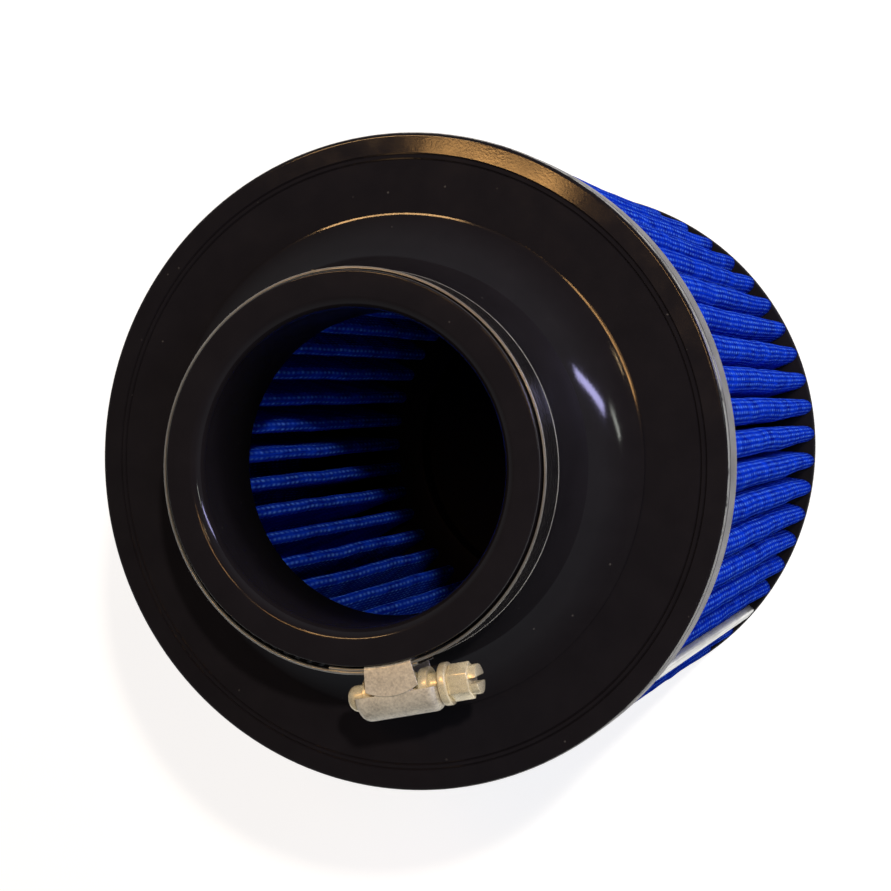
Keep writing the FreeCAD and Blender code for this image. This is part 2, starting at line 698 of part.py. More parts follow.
def make_screw():
    """Screw along its own X axis: tip, journal, worm, journal, collar, hexagon and slotted crown."""
    body = new_body("clamp_screw")
    profile = new_sketch(body, "screw_profile", "XY_Plane")
    add_loop(profile, [
        ("-tip_end", None),
        ("crown_end", None),
        ("crown_end", "crown_radius"),
        ("collar_end", "crown_radius"),
        ("collar_end", "collar_radius"),
        ("collar_start", "collar_radius"),
        ("collar_start", "journal_radius"),
        ("thread_end", "journal_radius"),
        ("thread_end", "thread_radius"),
        ("-thread_end", "thread_radius"),
        ("-thread_end", "journal_radius"),
        ("-tip_end", "journal_radius"),
    ])
    shaft = feature(body, "Revolution", "screw_turned", profile,
                    ReferenceAxis=(profile, ["H_Axis"]), Angle=360)

    def tip_edge(edge):
        return (isinstance(edge.Curve, Part.Circle)
                and abs(edge.Curve.Center.x + size("tip_end")) < 1e-4)

    rounded(body, shaft, "tip_round", "tip_rounding", tip_edge)
    DOC.recompute()
    notch = new_sketch(body, "thread_notch", "XY_Plane")
    add_loop(notch, [
        ("first_groove_start", "thread_radius"),
        ("first_groove", "thread_root"),
        ("first_groove_end", "thread_radius"),
    ])
    groove = feature(body, "Groove", "thread_groove", notch,
                     ReferenceAxis=(notch, ["H_Axis"]), Angle=360)
    DOC.recompute()
    row = body.newObject("PartDesign::LinearPattern", "thread_row")
    row.Originals = [groove]
    row.Direction = ([item for item in body.Origin.OriginFeatures if item.Role == "X_Axis"][0], [""])
    row.Mode = "Spacing"
    bind(row, "Offset", "thread_pitch")
    bind(row, "Occurrences", "thread_count")
    body.Tip = row
    DOC.recompute()
    hexagon = new_sketch(body, "hex_outline", "YZ_Plane", "collar_end")
    add_loop(hexagon, [
        ("hex_corner", None),
        ("hex_half_corner", "hex_flat"),
        ("-hex_half_corner", "hex_flat"),
        ("-hex_corner", None),
        ("-hex_half_corner", "-hex_flat"),
        ("hex_half_corner", "-hex_flat"),
    ])
    head = feature(body, "Pad", "hex_head", hexagon)
    bind(head, "Length", "hex_length")
    DOC.recompute()
    cone = new_sketch(body, "hex_cone", "XY_Plane")
    add_loop(cone, [
        ("hex_end", "hex_flat"),
        ("hex_end", "hex_clear"),
        ("hex_cone_start", "hex_clear"),
    ])
    feature(body, "Groove", "hex_corners", cone, ReferenceAxis=(cone, ["H_Axis"]), Angle=360)
    DOC.recompute()
    slot = new_sketch(body, "drive_slot_outline", "YZ_Plane", "crown_end")
    add_loop(slot, [
        ("-half_drive_slot", "-crown_radius"),
        ("half_drive_slot", "-crown_radius"),
        ("half_drive_slot", "crown_radius"),
        ("-half_drive_slot", "crown_radius"),
    ])
    drive = feature(body, "Pocket", "drive_slot", slot)
    bind(drive, "Length", "drive_slot_depth")
    body.Tip = drive
    bind(body, "Placement.Base.x", "screw_x")
    bind(body, "Placement.Base.y", "screw_y")
    bind(body, "Placement.Base.z", "band_middle")
    body.Placement.Rotation.Axis = FreeCAD.Vector(0, 0, 1)
    bind(body, "Placement.Rotation.Angle", "clamp_turn")
    return body


def check_and_export(items):
    """Stop at anything that failed, then write one file for each piece."""
    DOC.recompute()
    for item in DOC.Objects:
        if "Invalid" in item.State or "Error" in item.State:
            raise RuntimeError(f"{item.Label} failed: {item.State}")
    os.makedirs("parts", exist_ok=True)
    for item in items:
        if item.Shape.isNull() or not item.Shape.isValid():
            raise RuntimeError(f"{item.Label} has no valid shape")
        item.Shape.exportStep(f"parts/{item.Label}.step")
        print(item.Label, len(item.Shape.Solids), "solid", round(item.Shape.Volume), "mm3")


def main():
    fill_sheet()
    pleats = Pleats()
    items = [
        make_base(pleats),
        make_media(pleats),
        make_clip(),
        make_cap(pleats),
        make_band(),
        make_saddle(),
        make_housing(),
        make_screw(),
    ]
    check_and_export(items)


main()
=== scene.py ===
import json
import math

import bmesh
import bpy
from mathutils import Matrix, Vector, noise


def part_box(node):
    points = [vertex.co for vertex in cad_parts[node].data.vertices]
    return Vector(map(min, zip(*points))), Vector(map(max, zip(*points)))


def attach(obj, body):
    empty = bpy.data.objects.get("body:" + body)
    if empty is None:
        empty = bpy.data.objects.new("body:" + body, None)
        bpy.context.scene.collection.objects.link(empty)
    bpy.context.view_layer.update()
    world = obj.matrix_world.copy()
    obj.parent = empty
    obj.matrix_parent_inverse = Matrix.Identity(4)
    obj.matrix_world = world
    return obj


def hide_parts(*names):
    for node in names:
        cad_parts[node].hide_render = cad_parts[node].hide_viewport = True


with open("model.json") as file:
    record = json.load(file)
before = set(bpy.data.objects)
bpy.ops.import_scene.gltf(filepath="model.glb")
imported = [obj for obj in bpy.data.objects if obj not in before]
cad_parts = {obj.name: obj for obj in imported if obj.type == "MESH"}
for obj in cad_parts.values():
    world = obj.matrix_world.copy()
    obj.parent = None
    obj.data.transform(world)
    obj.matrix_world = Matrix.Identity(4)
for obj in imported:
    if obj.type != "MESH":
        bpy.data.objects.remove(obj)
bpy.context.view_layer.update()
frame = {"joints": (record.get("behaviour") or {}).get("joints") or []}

bl_info = {
    "name": "Cylindrical Air Filter",
    "version": (1, 0, 0),
    "blender": (4, 5, 0),
    "location": "View3D > Sidebar > Air Filter",
    "description": "Builds a pleated gauze air filter, with a rubber base and a worm clamp",
    "category": "Object",
}

MM = 0.001
BASE_LOW, BASE_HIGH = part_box("base_flange")
CAP_LOW, CAP_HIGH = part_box("end_cap")
GAUZE_LOW, GAUZE_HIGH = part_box("pleated_media")
CLIP_LOW, CLIP_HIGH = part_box("seam_clip")
BAND_LOW, BAND_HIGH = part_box("clamp_band")
SCREW_JOINT = frame["joints"][0]
SCREW_CENTRE = Vector(SCREW_JOINT["pos_m"])
SCREW_AXIS = Vector(SCREW_JOINT["axis"]).normalized()


# Sizes and colours


def linear(code):
    """Linear colour behind an sRGB hex code."""
    channels = [int(code[i:i + 2], 16) / 255 for i in (1, 3, 5)]
    return tuple(c / 12.92 if c <= 0.04045 else ((c + 0.055) / 1.055) ** 2.4 for c in channels)


def length(name, description, metres):
    return bpy.props.FloatProperty(name=name, description=description, default=metres,
                                   precision=5, unit="LENGTH")


def angle(name, description, degrees):
    return bpy.props.FloatProperty(name=name, description=description, default=math.radians(degrees),
                                   unit="ROTATION")


def colour(name, description, code):
    return bpy.props.FloatVectorProperty(name=name, description=description, default=linear(code),
                                         min=0, max=1, subtype="COLOR")


class MouldingSizes(bpy.types.PropertyGroup):
    radius: length("Radius", "Outer edge of the base and of the cap", BASE_HIGH.x)
    base_bottom: length("Base bottom", "Underside of the base", BASE_LOW.z)
    neck_top: length("Neck top", "Face of the neck", BASE_HIGH.z)
    rim_height: length("Rim height", "Side wall of the base", 13 * MM)
    rim_fall: length("Rim fall", "How far the outer ring slopes away", 0.5 * MM)
    rim_edge: length("Rim edge", "Rounding of the front edge", 0.9 * MM)
    wall_line_drop: length("Wall line drop", "Groove round the wall, from the front edge", 2.4 * MM)
    ring_line_radius: length("Ring line radius", "Outer one of the two fine grooves", 78.45 * MM)
    ring_line_step: length("Ring line step", "Between the two fine grooves", 1.3 * MM)
    line_half: length("Line half", "Half the width of a fine groove", 0.3 * MM)
    line_depth: length("Line depth", "Depth of a fine groove", 0.4 * MM)
    crease_radius: length("Crease radius", "Where the shoulder ends on the disc", 63.4 * MM)
    crease_step: length("Crease step", "Height of the shoulder's small step", 0.9 * MM)
    crease_facet: length("Crease facet", "Narrow bevel along the shoulder's end", 0.55 * MM)
    crease_tilt: angle("Crease tilt", "Fall of that bevel", 11)
    flare_radius: length("Flare radius", "Hollow curve from the neck to the disc", 23 * MM)
    neck_radius: length("Neck radius", "Outside of the neck", 47 * MM)
    neck_edge: length("Neck edge", "Rounding of the neck's outer edge", 0.5 * MM)
    bore_radius: length("Bore radius", "Inside of the neck", 38 * MM)
    bore_length: length("Bore length", "Straight part of the bore", 30.5 * MM)
    bore_lip: length("Bore lip", "Rounding of the bore's mouth", 3.6 * MM)
    lip_corner: angle("Lip corner", "Angle between the neck's face and the rounding", 14)
    throat_radius: length("Throat radius", "Inside of the base at the pleats", 51.5 * MM)
    throat_height: length("Throat height", "Straight part of the throat", 3 * MM)
    cap_rim: length("Cap rim", "Height of the cap's outer edge", 2.6 * MM)
    cap_crest: length("Cap crest", "Height of the cast rubber inside the pleats", CAP_HIGH.z)
    cap_crest_radius: length("Cap crest radius", "Where the cast rubber is at its full height", 57 * MM)
    cap_edge: length("Cap edge", "Rounding of the closed face", 1.2 * MM)
    cap_floor: length("Cap floor", "Thickness of the closing disc", 3 * MM)
    cap_well: length("Cap well", "Radius of the hollow inside the cap", 46 * MM)
    rubber: colour("Rubber", "Moulded black rubber", "#131114")
    cast: colour("Cast rubber", "Black rubber cast round the lower end of the pleats", "#0e0c0e")
    trimmed: colour("Trimmed rubber", "Side wall, where the moulding was trimmed", "#232325")
    # Painted highlight: a pale line on the front edge's rounding, where the lamps would catch it
    rubbed: colour("Edge highlight", "Front edge, rubbed pale by handling", "#8a8e8b")


class PleatSizes(bpy.types.PropertyGroup):
    bottom: length("Bottom", "Lower end of the sheet, cast into the cap", GAUZE_LOW.z)
    top: length("Top", "Upper end of the sheet, cast into the base", GAUZE_HIGH.z)
    outer_radius: length("Outer radius", "Crowns of the outer folds", 83.4 * MM)
    inner_radius: length("Inner radius", "Crowns of the inner folds", 54 * MM)
    count: bpy.props.IntProperty(name="Count", description="Pleats round the ring", default=50)
    crowding: bpy.props.FloatProperty(name="Crowding", default=0.15, subtype="FACTOR",
                                      description="How much closer the pleats sit on the +X side")
    thickness: length("Thickness", "Gauze between its two wire nets", 1.2 * MM)
    ridge_gap: length("Ridge gap", "Between neighbouring outer folds", 1.6 * MM)
    fold_gap: length("Fold gap", "Between neighbouring inner folds", 4.2 * MM)
    smallest_fold: length("Smallest fold", "Inside radius that no fold goes under", 0.15 * MM)
    pinch: bpy.props.FloatProperty(name="Pinch", default=0.3, subtype="FACTOR",
                                   description="How much narrower the ridges are at the cap")
    spread: bpy.props.FloatProperty(name="Spread", default=0.08, subtype="FACTOR",
                                    description="How much wider the ridges are at the base")
    swell: length("Swell", "How far the ridges stand out at the cap", 0.5 * MM)
    waviness: length("Waviness", "How far the soft sheet wanders from its even course", 0.45 * MM)
    wander_length: length("Wander length", "Distance over which the sheet wanders", 18 * MM)
    wander_seed: bpy.props.IntProperty(name="Wander seed", default=1, min=1,
                                       description="Picks the course that the sheet wanders on")
    seam_angle: angle("Seam angle", "Where the two ends of the sheet meet", -41)
    end_gap: length("End gap", "Between the two ends of the sheet", 0.4 * MM)
    clip_outside: length("Clip outside", "Outer face of the seam strip from the axis", 83.7 * MM)
    clip_wall: length("Clip wall", "Sheet metal of the seam strip", 0.4 * MM)
    clip_depth: length("Clip depth", "How far the seam strip reaches in", 2.5 * MM)
    clip_clearance: length("Clip clearance", "Between the seam strip and the gauze", 0.2 * MM)
    clip_bend: length("Clip bend", "Rounding of the seam strip's bends", 0.5 * MM)
    clip_edge: length("Clip edge", "Softening of the seam strip's edges", 0.2 * MM)
    wire_step: length("Wire step", "Between the net's wires that run up the folds", 1.2 * MM)
    bead_step: length("Bead step", "Between the net's wires across the folds", 3.6 * MM)
    gauze: colour("Gauze", "Cotton threads dyed blue", "#0a3ee0")
    gauze_deep: colour("Gauze deep", "Blue between the threads", "#04138c")
    # Painted glint: the pale blue that the wires take where they would flash in the lamps' light
    net: colour("Net glint", "Blue-tinted wires of the net on the gauze", "#5c96ff")
    strip: colour("Strip", "Bright aluminium of the seam strip", "#e9ebe6")


class ClampSizes(bpy.types.PropertyGroup):
    turn: angle("Turn", "Housing's turn about the filter's axis, from -Y",
                math.degrees(math.atan2(SCREW_AXIS.y, SCREW_AXIS.x)))
    middle: length("Middle", "Level of the band's middle", SCREW_CENTRE.z)
    band_width: length("Band width", "Steel strip", BAND_HIGH.z - BAND_LOW.z)
    band_thickness: length("Band thickness", "Steel strip", 0.65 * MM)
    band_inner: length("Band inner", "Inside of the tail's arc", 47.725 * MM)
    layer_step: length("Layer step", "From the fixed end to the tail that lies on it", 0.75 * MM)
    neck_gap: length("Neck gap", "Clamp's shift on the neck, which it hangs on loosely", 0.625 * MM)
    lip_width: length("Lip width", "Edge of the band that is turned out", 0.45 * MM)
    lip_rise: length("Lip rise", "How far the edge is turned out", 0.2 * MM)
    tongue_angle: angle("Tongue angle", "Fixed end past the housing's middle", 18)
    tail_angle: angle("Tail angle", "Tail past the housing's middle", 9)
    slot_length: length("Slot length", "Across the band", 7.4 * MM)
    slot_lean: length("Slot lean", "How far a slot's ends are shifted", 1 * MM)
    slot_step: angle("Slot step", "From one slot to the next", 3.75)
    slot_count: bpy.props.IntProperty(name="Slot count", description="Slots in the tail", default=22)
    saddle_wall: length("Saddle wall", "Strap's sheet metal", 0.4 * MM)
    saddle_inner: length("Saddle inner", "Strap's face on the neck, from the clamp's axis", 46.525 * MM)
    saddle_outer: length("Saddle outer", "Ends of the strap beside the housing", 54.125 * MM)
    saddle_half: length("Saddle half", "Half the strap's outside width", 6.45 * MM)
    saddle_round: length("Saddle round", "How far the strap's ends fall at their corners", 1.3 * MM)
    saddle_angle: angle("Saddle angle", "Strap's stretch round the band", 14.5)
    housing_length: length("Housing length", "Barrel over the screw", 21 * MM)
    housing_radius: length("Housing radius", "Round back of the barrel", 6 * MM)
    housing_wall: length("Housing wall", "Barrel's sheet metal", 0.8 * MM)
    housing_corner: length("Housing corner", "Rounding of the barrel's ends", 2.5 * MM)
    housing_foot: length("Housing foot", "Barrel's open side, from the clamp's axis", 53.525 * MM)
    screw_reach: length("Screw reach", "Screw's axis from the clamp's axis", 53.925 * MM)
    bearing_radius: length("Bearing radius", "Holes that the screw turns in", 3.28 * MM)
    journal_radius: length("Journal radius", "Plain shaft of the screw", 3.2 * MM)
    tip_length: length("Tip length", "Screw past the barrel's far end", 2.7 * MM)
    thread_radius: length("Thread radius", "Crest of the worm", 4.7 * MM)
    thread_depth: length("Thread depth", "Worm's groove", 1.2 * MM)
    thread_pitch: length("Thread pitch", "From groove to groove", 3.2 * MM)
    thread_length: length("Thread length", "Worm inside the barrel", 16.3 * MM)
    collar_start: length("Collar start", "Collar's inner face from the barrel's middle", 10.85 * MM)
    collar_radius: length("Collar radius", "Washer face of the head", 5.2 * MM)
    collar_length: length("Collar length", "Thickness of the collar", 2 * MM)
    hex_across: length("Hex across", "Spanner size", 8 * MM)
    hex_length: length("Hex length", "Height of the hexagon", 5.3 * MM)
    crown_radius: length("Crown radius", "Slotted end of the head", 3.6 * MM)
    crown_length: length("Crown length", "Height of the slotted end", 2 * MM)
    driver_slot: length("Driver slot", "Width of the screwdriver slot", 1.4 * MM)
    strip_edge: length("Strip edge", "Softening of the band's and the strap's edges", 0.12 * MM)
    strap_bend: length("Strap bend", "Rounding of the strap's bends", 0.7 * MM)
    barrel_edge: length("Barrel edge", "Softening of the barrel's edges", 0.1 * MM)
    collar_edge: length("Collar edge", "Rounding of the collar", 0.4 * MM)
    hex_edge: length("Hex edge", "Rounding of the hexagon's edges", 0.35 * MM)
    crown_edge: length("Crown edge", "Rounding of the slotted end", 0.25 * MM)
    band_steel: colour("Band steel", "Rolled stainless strip", "#b4b2ae")
    # Painted highlight: the turned edges are coloured paler so that they shine brighter than the band's
    # face
    band_edge_highlight: colour("Band edge highlight", "Strip's turned edges, worn bright", "#e4e2da")
    barrel_steel: colour("Barrel steel", "Dull zinc on the saddle and the barrel", "#f6f0df")
    screw_steel: colour("Screw steel", "Yellowish zinc on the screw", "#fff3cf")


class StageSettings(bpy.types.PropertyGroup):
    camera_place: bpy.props.FloatVectorProperty(
        name="Camera place", description="Camera's place in the filter's frame",
        default=(0.1649, 0.0174, 0.6559), subtype="XYZ", unit="LENGTH")
    camera_sight: bpy.props.FloatVectorProperty(
        name="Camera sight", description="Direction that the camera looks in",
        default=(-0.2999, -0.0255, -0.9536), subtype="DIRECTION")
    camera_up: bpy.props.FloatVectorProperty(
        name="Camera up", description="Direction of the picture's upper edge",
        default=(0, 0.9996, -0.0268), subtype="DIRECTION")
    focal_length: bpy.props.FloatProperty(name="Focal length", description="Lens in millimetres",
                                          default=81.4, unit="CAMERA")
    floor_half: length("Floor half", "Half the floor's width", 0.45)
    floor_gap: length("Floor gap", "Keeps the closed face out of the floor's plane", 0.05 * MM)
    floor_glow: bpy.props.FloatProperty(name="Floor glow", default=0.8, min=0,
                                        description="Floor's own white, to the eye and in reflections")
    floor_white: colour("Floor white", "Matt white floor", "#acacac")
    room: colour("Room", "Dim grey of the room at the height of the stage", "#686a6e")


# Modelling helpers


# Steps of a full turn about the filter's axis
TURN_STEPS = 192
# Points this close become one, and places this close count as the same
MERGE = 0.001 * MM
SAME = 0.01 * MM


def chain(bm, points, closed=False):
    """Vertices at the points, joined by edges in order."""
    verts = [bm.verts.new(point) for point in points]
    pairs = list(zip(verts, verts[1:]))
    if closed:
        pairs.append((verts[-1], verts[0]))
    return verts, [bm.edges.new(pair) for pair in pairs]


def arc(centre, radius, start, end, steps):
    """Points of an arc in the plane of a profile, both ends included."""
    turns = [start + (end - start) * step / steps for step in range(steps + 1)]
    return [(centre[0] + radius * math.cos(t), centre[1] + radius * math.sin(t)) for t in turns]


def turn_about_axis(bm, outline, closed):
    """Full turn of a profile of (radius, level) pairs about Z, with its normals outwards."""
    verts, edges = chain(bm, [(radius, 0, level) for radius, level in outline], closed)
    bmesh.ops.spin(bm, geom=verts + edges, cent=(0, 0, 0), axis=(0, 0, 1), angle=2 * math.pi,
                   steps=TURN_STEPS, use_merge=True)
    bmesh.ops.remove_doubles(bm, verts=bm.verts, dist=MERGE)
    bmesh.ops.recalc_face_normals(bm, faces=bm.faces)


def verts_of(geom):
    """Vertices among the geometry that an operator returns."""
    return [item for item in geom if isinstance(item, bmesh.types.BMVert)]


def round_edges(bm, edges, rounding, segments):
    bmesh.ops.bevel(bm, geom=edges, offset=rounding, offset_type="OFFSET", affect="EDGES",
                    segments=segments, profile=0.5, material=-1)


def round_rings(bm, rings):
    """Round the ring edges given as (radius, level, rounding)."""
    for radius, level, rounding in rings:
        edges = [edge for edge in bm.edges
                 if all(abs(v.co.xy.length - radius) < SAME and abs(v.co.z - level) < SAME
                        for v in edge.verts)]
        round_edges(bm, edges, rounding, 4)


def clamp_place(clamp):
    """Turn and shift from the clamp's own axis to the filter's frame."""
    turn = Matrix.Rotation(clamp.turn, 4, "Z")
    shift = turn @ Vector((0, -clamp.neck_gap, 0))
    return Matrix.Translation((shift.x, shift.y, clamp.middle)) @ turn


def make_piece(bm, name, node, body, materials):
    """Object for a finished bmesh, which stands for a CAD node and rides on its body."""
    mesh = bpy.data.meshes.new(name)
    bm.to_mesh(mesh)
    bm.free()
    mesh.shade_smooth()
    mesh.set_sharp_from_angle(angle=math.radians(38))
    for material in materials:
        mesh.materials.append(material)
    piece = bpy.data.objects.new(name, mesh)
    bpy.context.scene.collection.objects.link(piece)
    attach(piece, body)
    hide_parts(node)
    return piece


def thicken(piece, wall, edge, side=0):
    """Give sheet metal its wall and softened edges. Side 0 keeps the sheet in the wall's middle."""
    solid = piece.modifiers.new("wall", "SOLIDIFY")
    solid.thickness = wall
    solid.offset = side
    solid.use_even_offset = True
    soft = piece.modifiers.new("edges", "BEVEL")
    soft.width = edge
    soft.segments = 2
    soft.limit_method = "ANGLE"
    soft.angle_limit = math.radians(40)
    soft.harden_normals = True


# Materials


def feed(tree, node, inputs):
    """Set a node's inputs, each to a value or to the output that feeds it."""
    for name, value in inputs.items():
        if isinstance(value, bpy.types.NodeSocket):
            tree.links.new(value, node.inputs[name])
        else:
            node.inputs[name].default_value = value


def add_node(tree, kind, settings=None, inputs=None):
    """Add a node with its settings and links."""
    node = tree.nodes.new(kind)
    for name, value in (settings or {}).items():
        setattr(node, name, value)
    feed(tree, node, inputs or {})
    return node


def new_material(name):
    material = bpy.data.materials.new(name)
    material.use_nodes = True
    return material, material.node_tree, material.node_tree.nodes["Principled BSDF"]


def wave_scale(pitch):
    """Scale of a wave texture whose bands repeat at the pitch, in metres."""
    return 2 * math.pi / 20 / pitch


def rubber_material(name, tint, gloss, dull, shine=0.5):
    """Moulded polyurethane rubber: nearly black and shiny, with smears that break the shine up.

    Gloss and dull are the roughness of clean and of smeared places, and shine is how much it mirrors.
    """
    material, tree, shader = new_material(name)
    place = add_node(tree, "ShaderNodeTexCoord").outputs["Object"]
    # Smears about 9 mm wide, left by handling and by the mould's release agent
    smear = add_node(tree, "ShaderNodeTexNoise", inputs={
        "Vector": place, "Scale": 1 / (9 * MM), "Detail": 5, "Roughness": 0.6})
    # Skin grain of about 0.2 mm is drawn at 0.6 mm, so that it shows
    grain = add_node(tree, "ShaderNodeTexNoise", inputs={
        "Vector": place, "Scale": 1 / (0.6 * MM), "Detail": 3})
    # Grey dust specks of about 0.3 mm, some 7 mm apart
    dust = add_node(tree, "ShaderNodeTexVoronoi", inputs={"Vector": place, "Scale": 1 / (7 * MM)})
    speck = add_node(tree, "ShaderNodeMapRange", inputs={
        "Value": dust.outputs["Distance"], "From Min": 0.02, "From Max": 0.05,
        "To Min": 0.3, "To Max": 0})
    # Smears are a shade paler than the rubber
    smeared = [channel * 1.5 + 0.001 for channel in tint]
    body = add_node(tree, "ShaderNodeMix", {"data_type": "RGBA"}, {
        0: smear.outputs["Fac"], 6: (*tint, 1), 7: (*smeared, 1)})
    dusty = add_node(tree, "ShaderNodeMix", {"data_type": "RGBA"}, {
        0: speck.outputs["Result"], 6: body.outputs[2], 7: (*linear("#6f6c69"), 1)})
    roughness = add_node(tree, "ShaderNodeMapRange", inputs={
        "Value": smear.outputs["Fac"], "From Min": 0.35, "From Max": 0.7,
        "To Min": gloss, "To Max": dull})
    bump = add_node(tree, "ShaderNodeBump", inputs={
        "Strength": 0.06, "Distance": 0.1 * MM, "Height": grain.outputs["Fac"]})
    feed(tree, shader, {
        "Base Color": dusty.outputs[2], "Roughness": roughness.outputs["Result"],
        "Normal": bump.outputs["Normal"], "Specular IOR Level": shine})
    return material


def edge_highlight_material(sizes):
    """Painted highlight on the rubber's front edge: a thin pale line that nicks and smears break up."""
    material, tree, shader = new_material("rubber_edge_highlight")
    place = add_node(tree, "ShaderNodeTexCoord").outputs["Object"]
    # Nicks every 6 mm or so
    nick = add_node(tree, "ShaderNodeTexNoise", inputs={
        "Vector": place, "Scale": 1 / (6 * MM), "Detail": 6, "Roughness": 0.7})
    # Painted highlight: pale where the noise is high, broken back to black rubber where it is low
    rubbed = add_node(tree, "ShaderNodeMapRange", inputs={
        "Value": nick.outputs["Fac"], "From Min": 0.36, "From Max": 0.5})
    tint = add_node(tree, "ShaderNodeMix", {"data_type": "RGBA"}, {
        0: rubbed.outputs["Result"], 6: (*sizes.rubber, 1), 7: (*sizes.rubbed, 1)})
    feed(tree, shader, {"Base Color": tint.outputs[2], "Roughness": 0.4})
    return material


def gauze_material(pleats):
    """Dyed and oiled cotton gauze under a coated wire net: deep blue, with short pale dashes of painted
    glint on the wires.
    """
    material, tree, shader = new_material("blue_cotton_gauze")
    course = add_node(tree, "ShaderNodeUVMap", {"uv_map": "course"}).outputs["UV"]
    uneven = {"Vector": course, "Distortion": 0.8, "Detail": 2, "Detail Scale": 0.3}
    # Wires that run up the folds make the net's pattern, in beads where the wires across go under them;
    # it sets the painted glint and the bump
    upright = add_node(tree, "ShaderNodeTexWave", {"bands_direction": "X"},
                       {**uneven, "Scale": wave_scale(pleats.wire_step)})
    across = add_node(tree, "ShaderNodeTexWave", {"bands_direction": "Y"},
                      {**uneven, "Scale": wave_scale(pleats.bead_step)})
    thin = add_node(tree, "ShaderNodeMath", {"operation": "POWER"}, {0: upright.outputs["Fac"], 1: 2})
    beads = add_node(tree, "ShaderNodeMapRange", inputs={
        "Value": across.outputs["Fac"], "To Min": 0.1, "To Max": 1})
    net = add_node(tree, "ShaderNodeMath", {"operation": "MULTIPLY"}, {
        0: thin.outputs[0], 1: beads.outputs["Result"]})
    # Cotton shows through as threads 0.4 mm wide that run up the folds, and the dye varies over 12 mm
    drawn = add_node(tree, "ShaderNodeMapping", inputs={
        "Vector": course, "Scale": (1 / (0.4 * MM), 1 / (8 * MM), 1)})
    thread = add_node(tree, "ShaderNodeTexNoise", inputs={
        "Vector": drawn.outputs["Vector"], "Scale": 1, "Detail": 3})
    dye = add_node(tree, "ShaderNodeTexNoise", inputs={
        "Vector": course, "Scale": 1 / (12 * MM), "Detail": 4})
    dyed = add_node(tree, "ShaderNodeMath", {"operation": "ADD"}, {
        0: thread.outputs["Fac"], 1: dye.outputs["Fac"]})
    depth = add_node(tree, "ShaderNodeMapRange", inputs={
        "Value": dyed.outputs[0], "From Min": 0.75, "From Max": 1.3})
    cloth = add_node(tree, "ShaderNodeMix", {"data_type": "RGBA"}, {
        0: depth.outputs["Result"], 6: (*pleats.gauze_deep, 1), 7: (*pleats.gauze, 1)})
    # The painted glint on the wires comes in drifts of about 5 mm
    drift = add_node(tree, "ShaderNodeTexNoise", inputs={
        "Vector": course, "Scale": 1 / (5 * MM), "Detail": 3})
    drifts = add_node(tree, "ShaderNodeMapRange", inputs={
        "Value": drift.outputs["Fac"], "From Min": 0.42, "From Max": 0.62,
        "To Min": 0.35, "To Max": 1})
    flash = add_node(tree, "ShaderNodeMath", {"operation": "MULTIPLY"}, {
        0: net.outputs[0], 1: drifts.outputs["Result"]})
    # Painted glint: the net's pale blue is laid over the cloth along the wires
    cloth_with_glint = add_node(tree, "ShaderNodeMix", {"data_type": "RGBA"}, {
        0: flash.outputs[0], 6: cloth.outputs[2], 7: (*pleats.net, 1)})
    bump = add_node(tree, "ShaderNodeBump", inputs={
        "Strength": 0.6, "Distance": 0.2 * MM, "Height": net.outputs[0]})
    # Loose cotton doesn't mirror the floor at a flat angle, as a smooth face would
    feed(tree, shader, {
        "Base Color": cloth_with_glint.outputs[2], "Normal": bump.outputs["Normal"],
        "Roughness": 0.6, "Specular IOR Level": 0})
    return material


def metal_material(name, tint, gloss, dull, grain, stain, bare=1):
    """Worked metal: lines along the grain's long way, and stains over them. Bare 1 has no dull film.

    Grain is the size of the lines on X, Y and Z, and stain the size of the stains, in metres.
    """
    material, tree, shader = new_material(name)
    place = add_node(tree, "ShaderNodeTexCoord").outputs["Object"]
    lines = add_node(tree, "ShaderNodeMapping", inputs={
        "Vector": place, "Scale": [1 / size for size in grain]})
    brushed = add_node(tree, "ShaderNodeTexNoise", inputs={
        "Vector": lines.outputs["Vector"], "Scale": 1, "Detail": 4})
    cloud = add_node(tree, "ShaderNodeTexNoise", inputs={
        "Vector": place, "Scale": 1 / stain, "Detail": 4, "Roughness": 0.65})
    # Stains are half as bright as the clean metal
    stained = [channel * 0.5 for channel in tint]
    mottle = add_node(tree, "ShaderNodeMath", {"operation": "ADD"}, {
        0: cloud.outputs["Fac"], 1: brushed.outputs["Fac"]})
    patch = add_node(tree, "ShaderNodeMapRange", inputs={
        "Value": mottle.outputs[0], "From Min": 0.8, "From Max": 1.3, "To Min": 0, "To Max": 0.85})
    finish = add_node(tree, "ShaderNodeMix", {"data_type": "RGBA"}, {
        0: patch.outputs["Result"], 6: (*tint, 1), 7: (*stained, 1)})
    roughness = add_node(tree, "ShaderNodeMapRange", inputs={
        "Value": brushed.outputs["Fac"], "From Min": 0.3, "From Max": 0.7,
        "To Min": gloss, "To Max": dull})
    bump = add_node(tree, "ShaderNodeBump", inputs={
        "Strength": 0.06, "Distance": 0.05 * MM, "Height": brushed.outputs["Fac"]})
    feed(tree, shader, {
        "Base Color": finish.outputs[2], "Roughness": roughness.outputs["Result"],
        "Normal": bump.outputs["Normal"], "Metallic": bare})
    return material


# Rubber mouldings


def groove(radius, level, half, depth):
    """Three points of a fine groove in a level face, from outside to inside."""
    return [(radius + half, level), (radius, level - depth), (radius - half, level)]


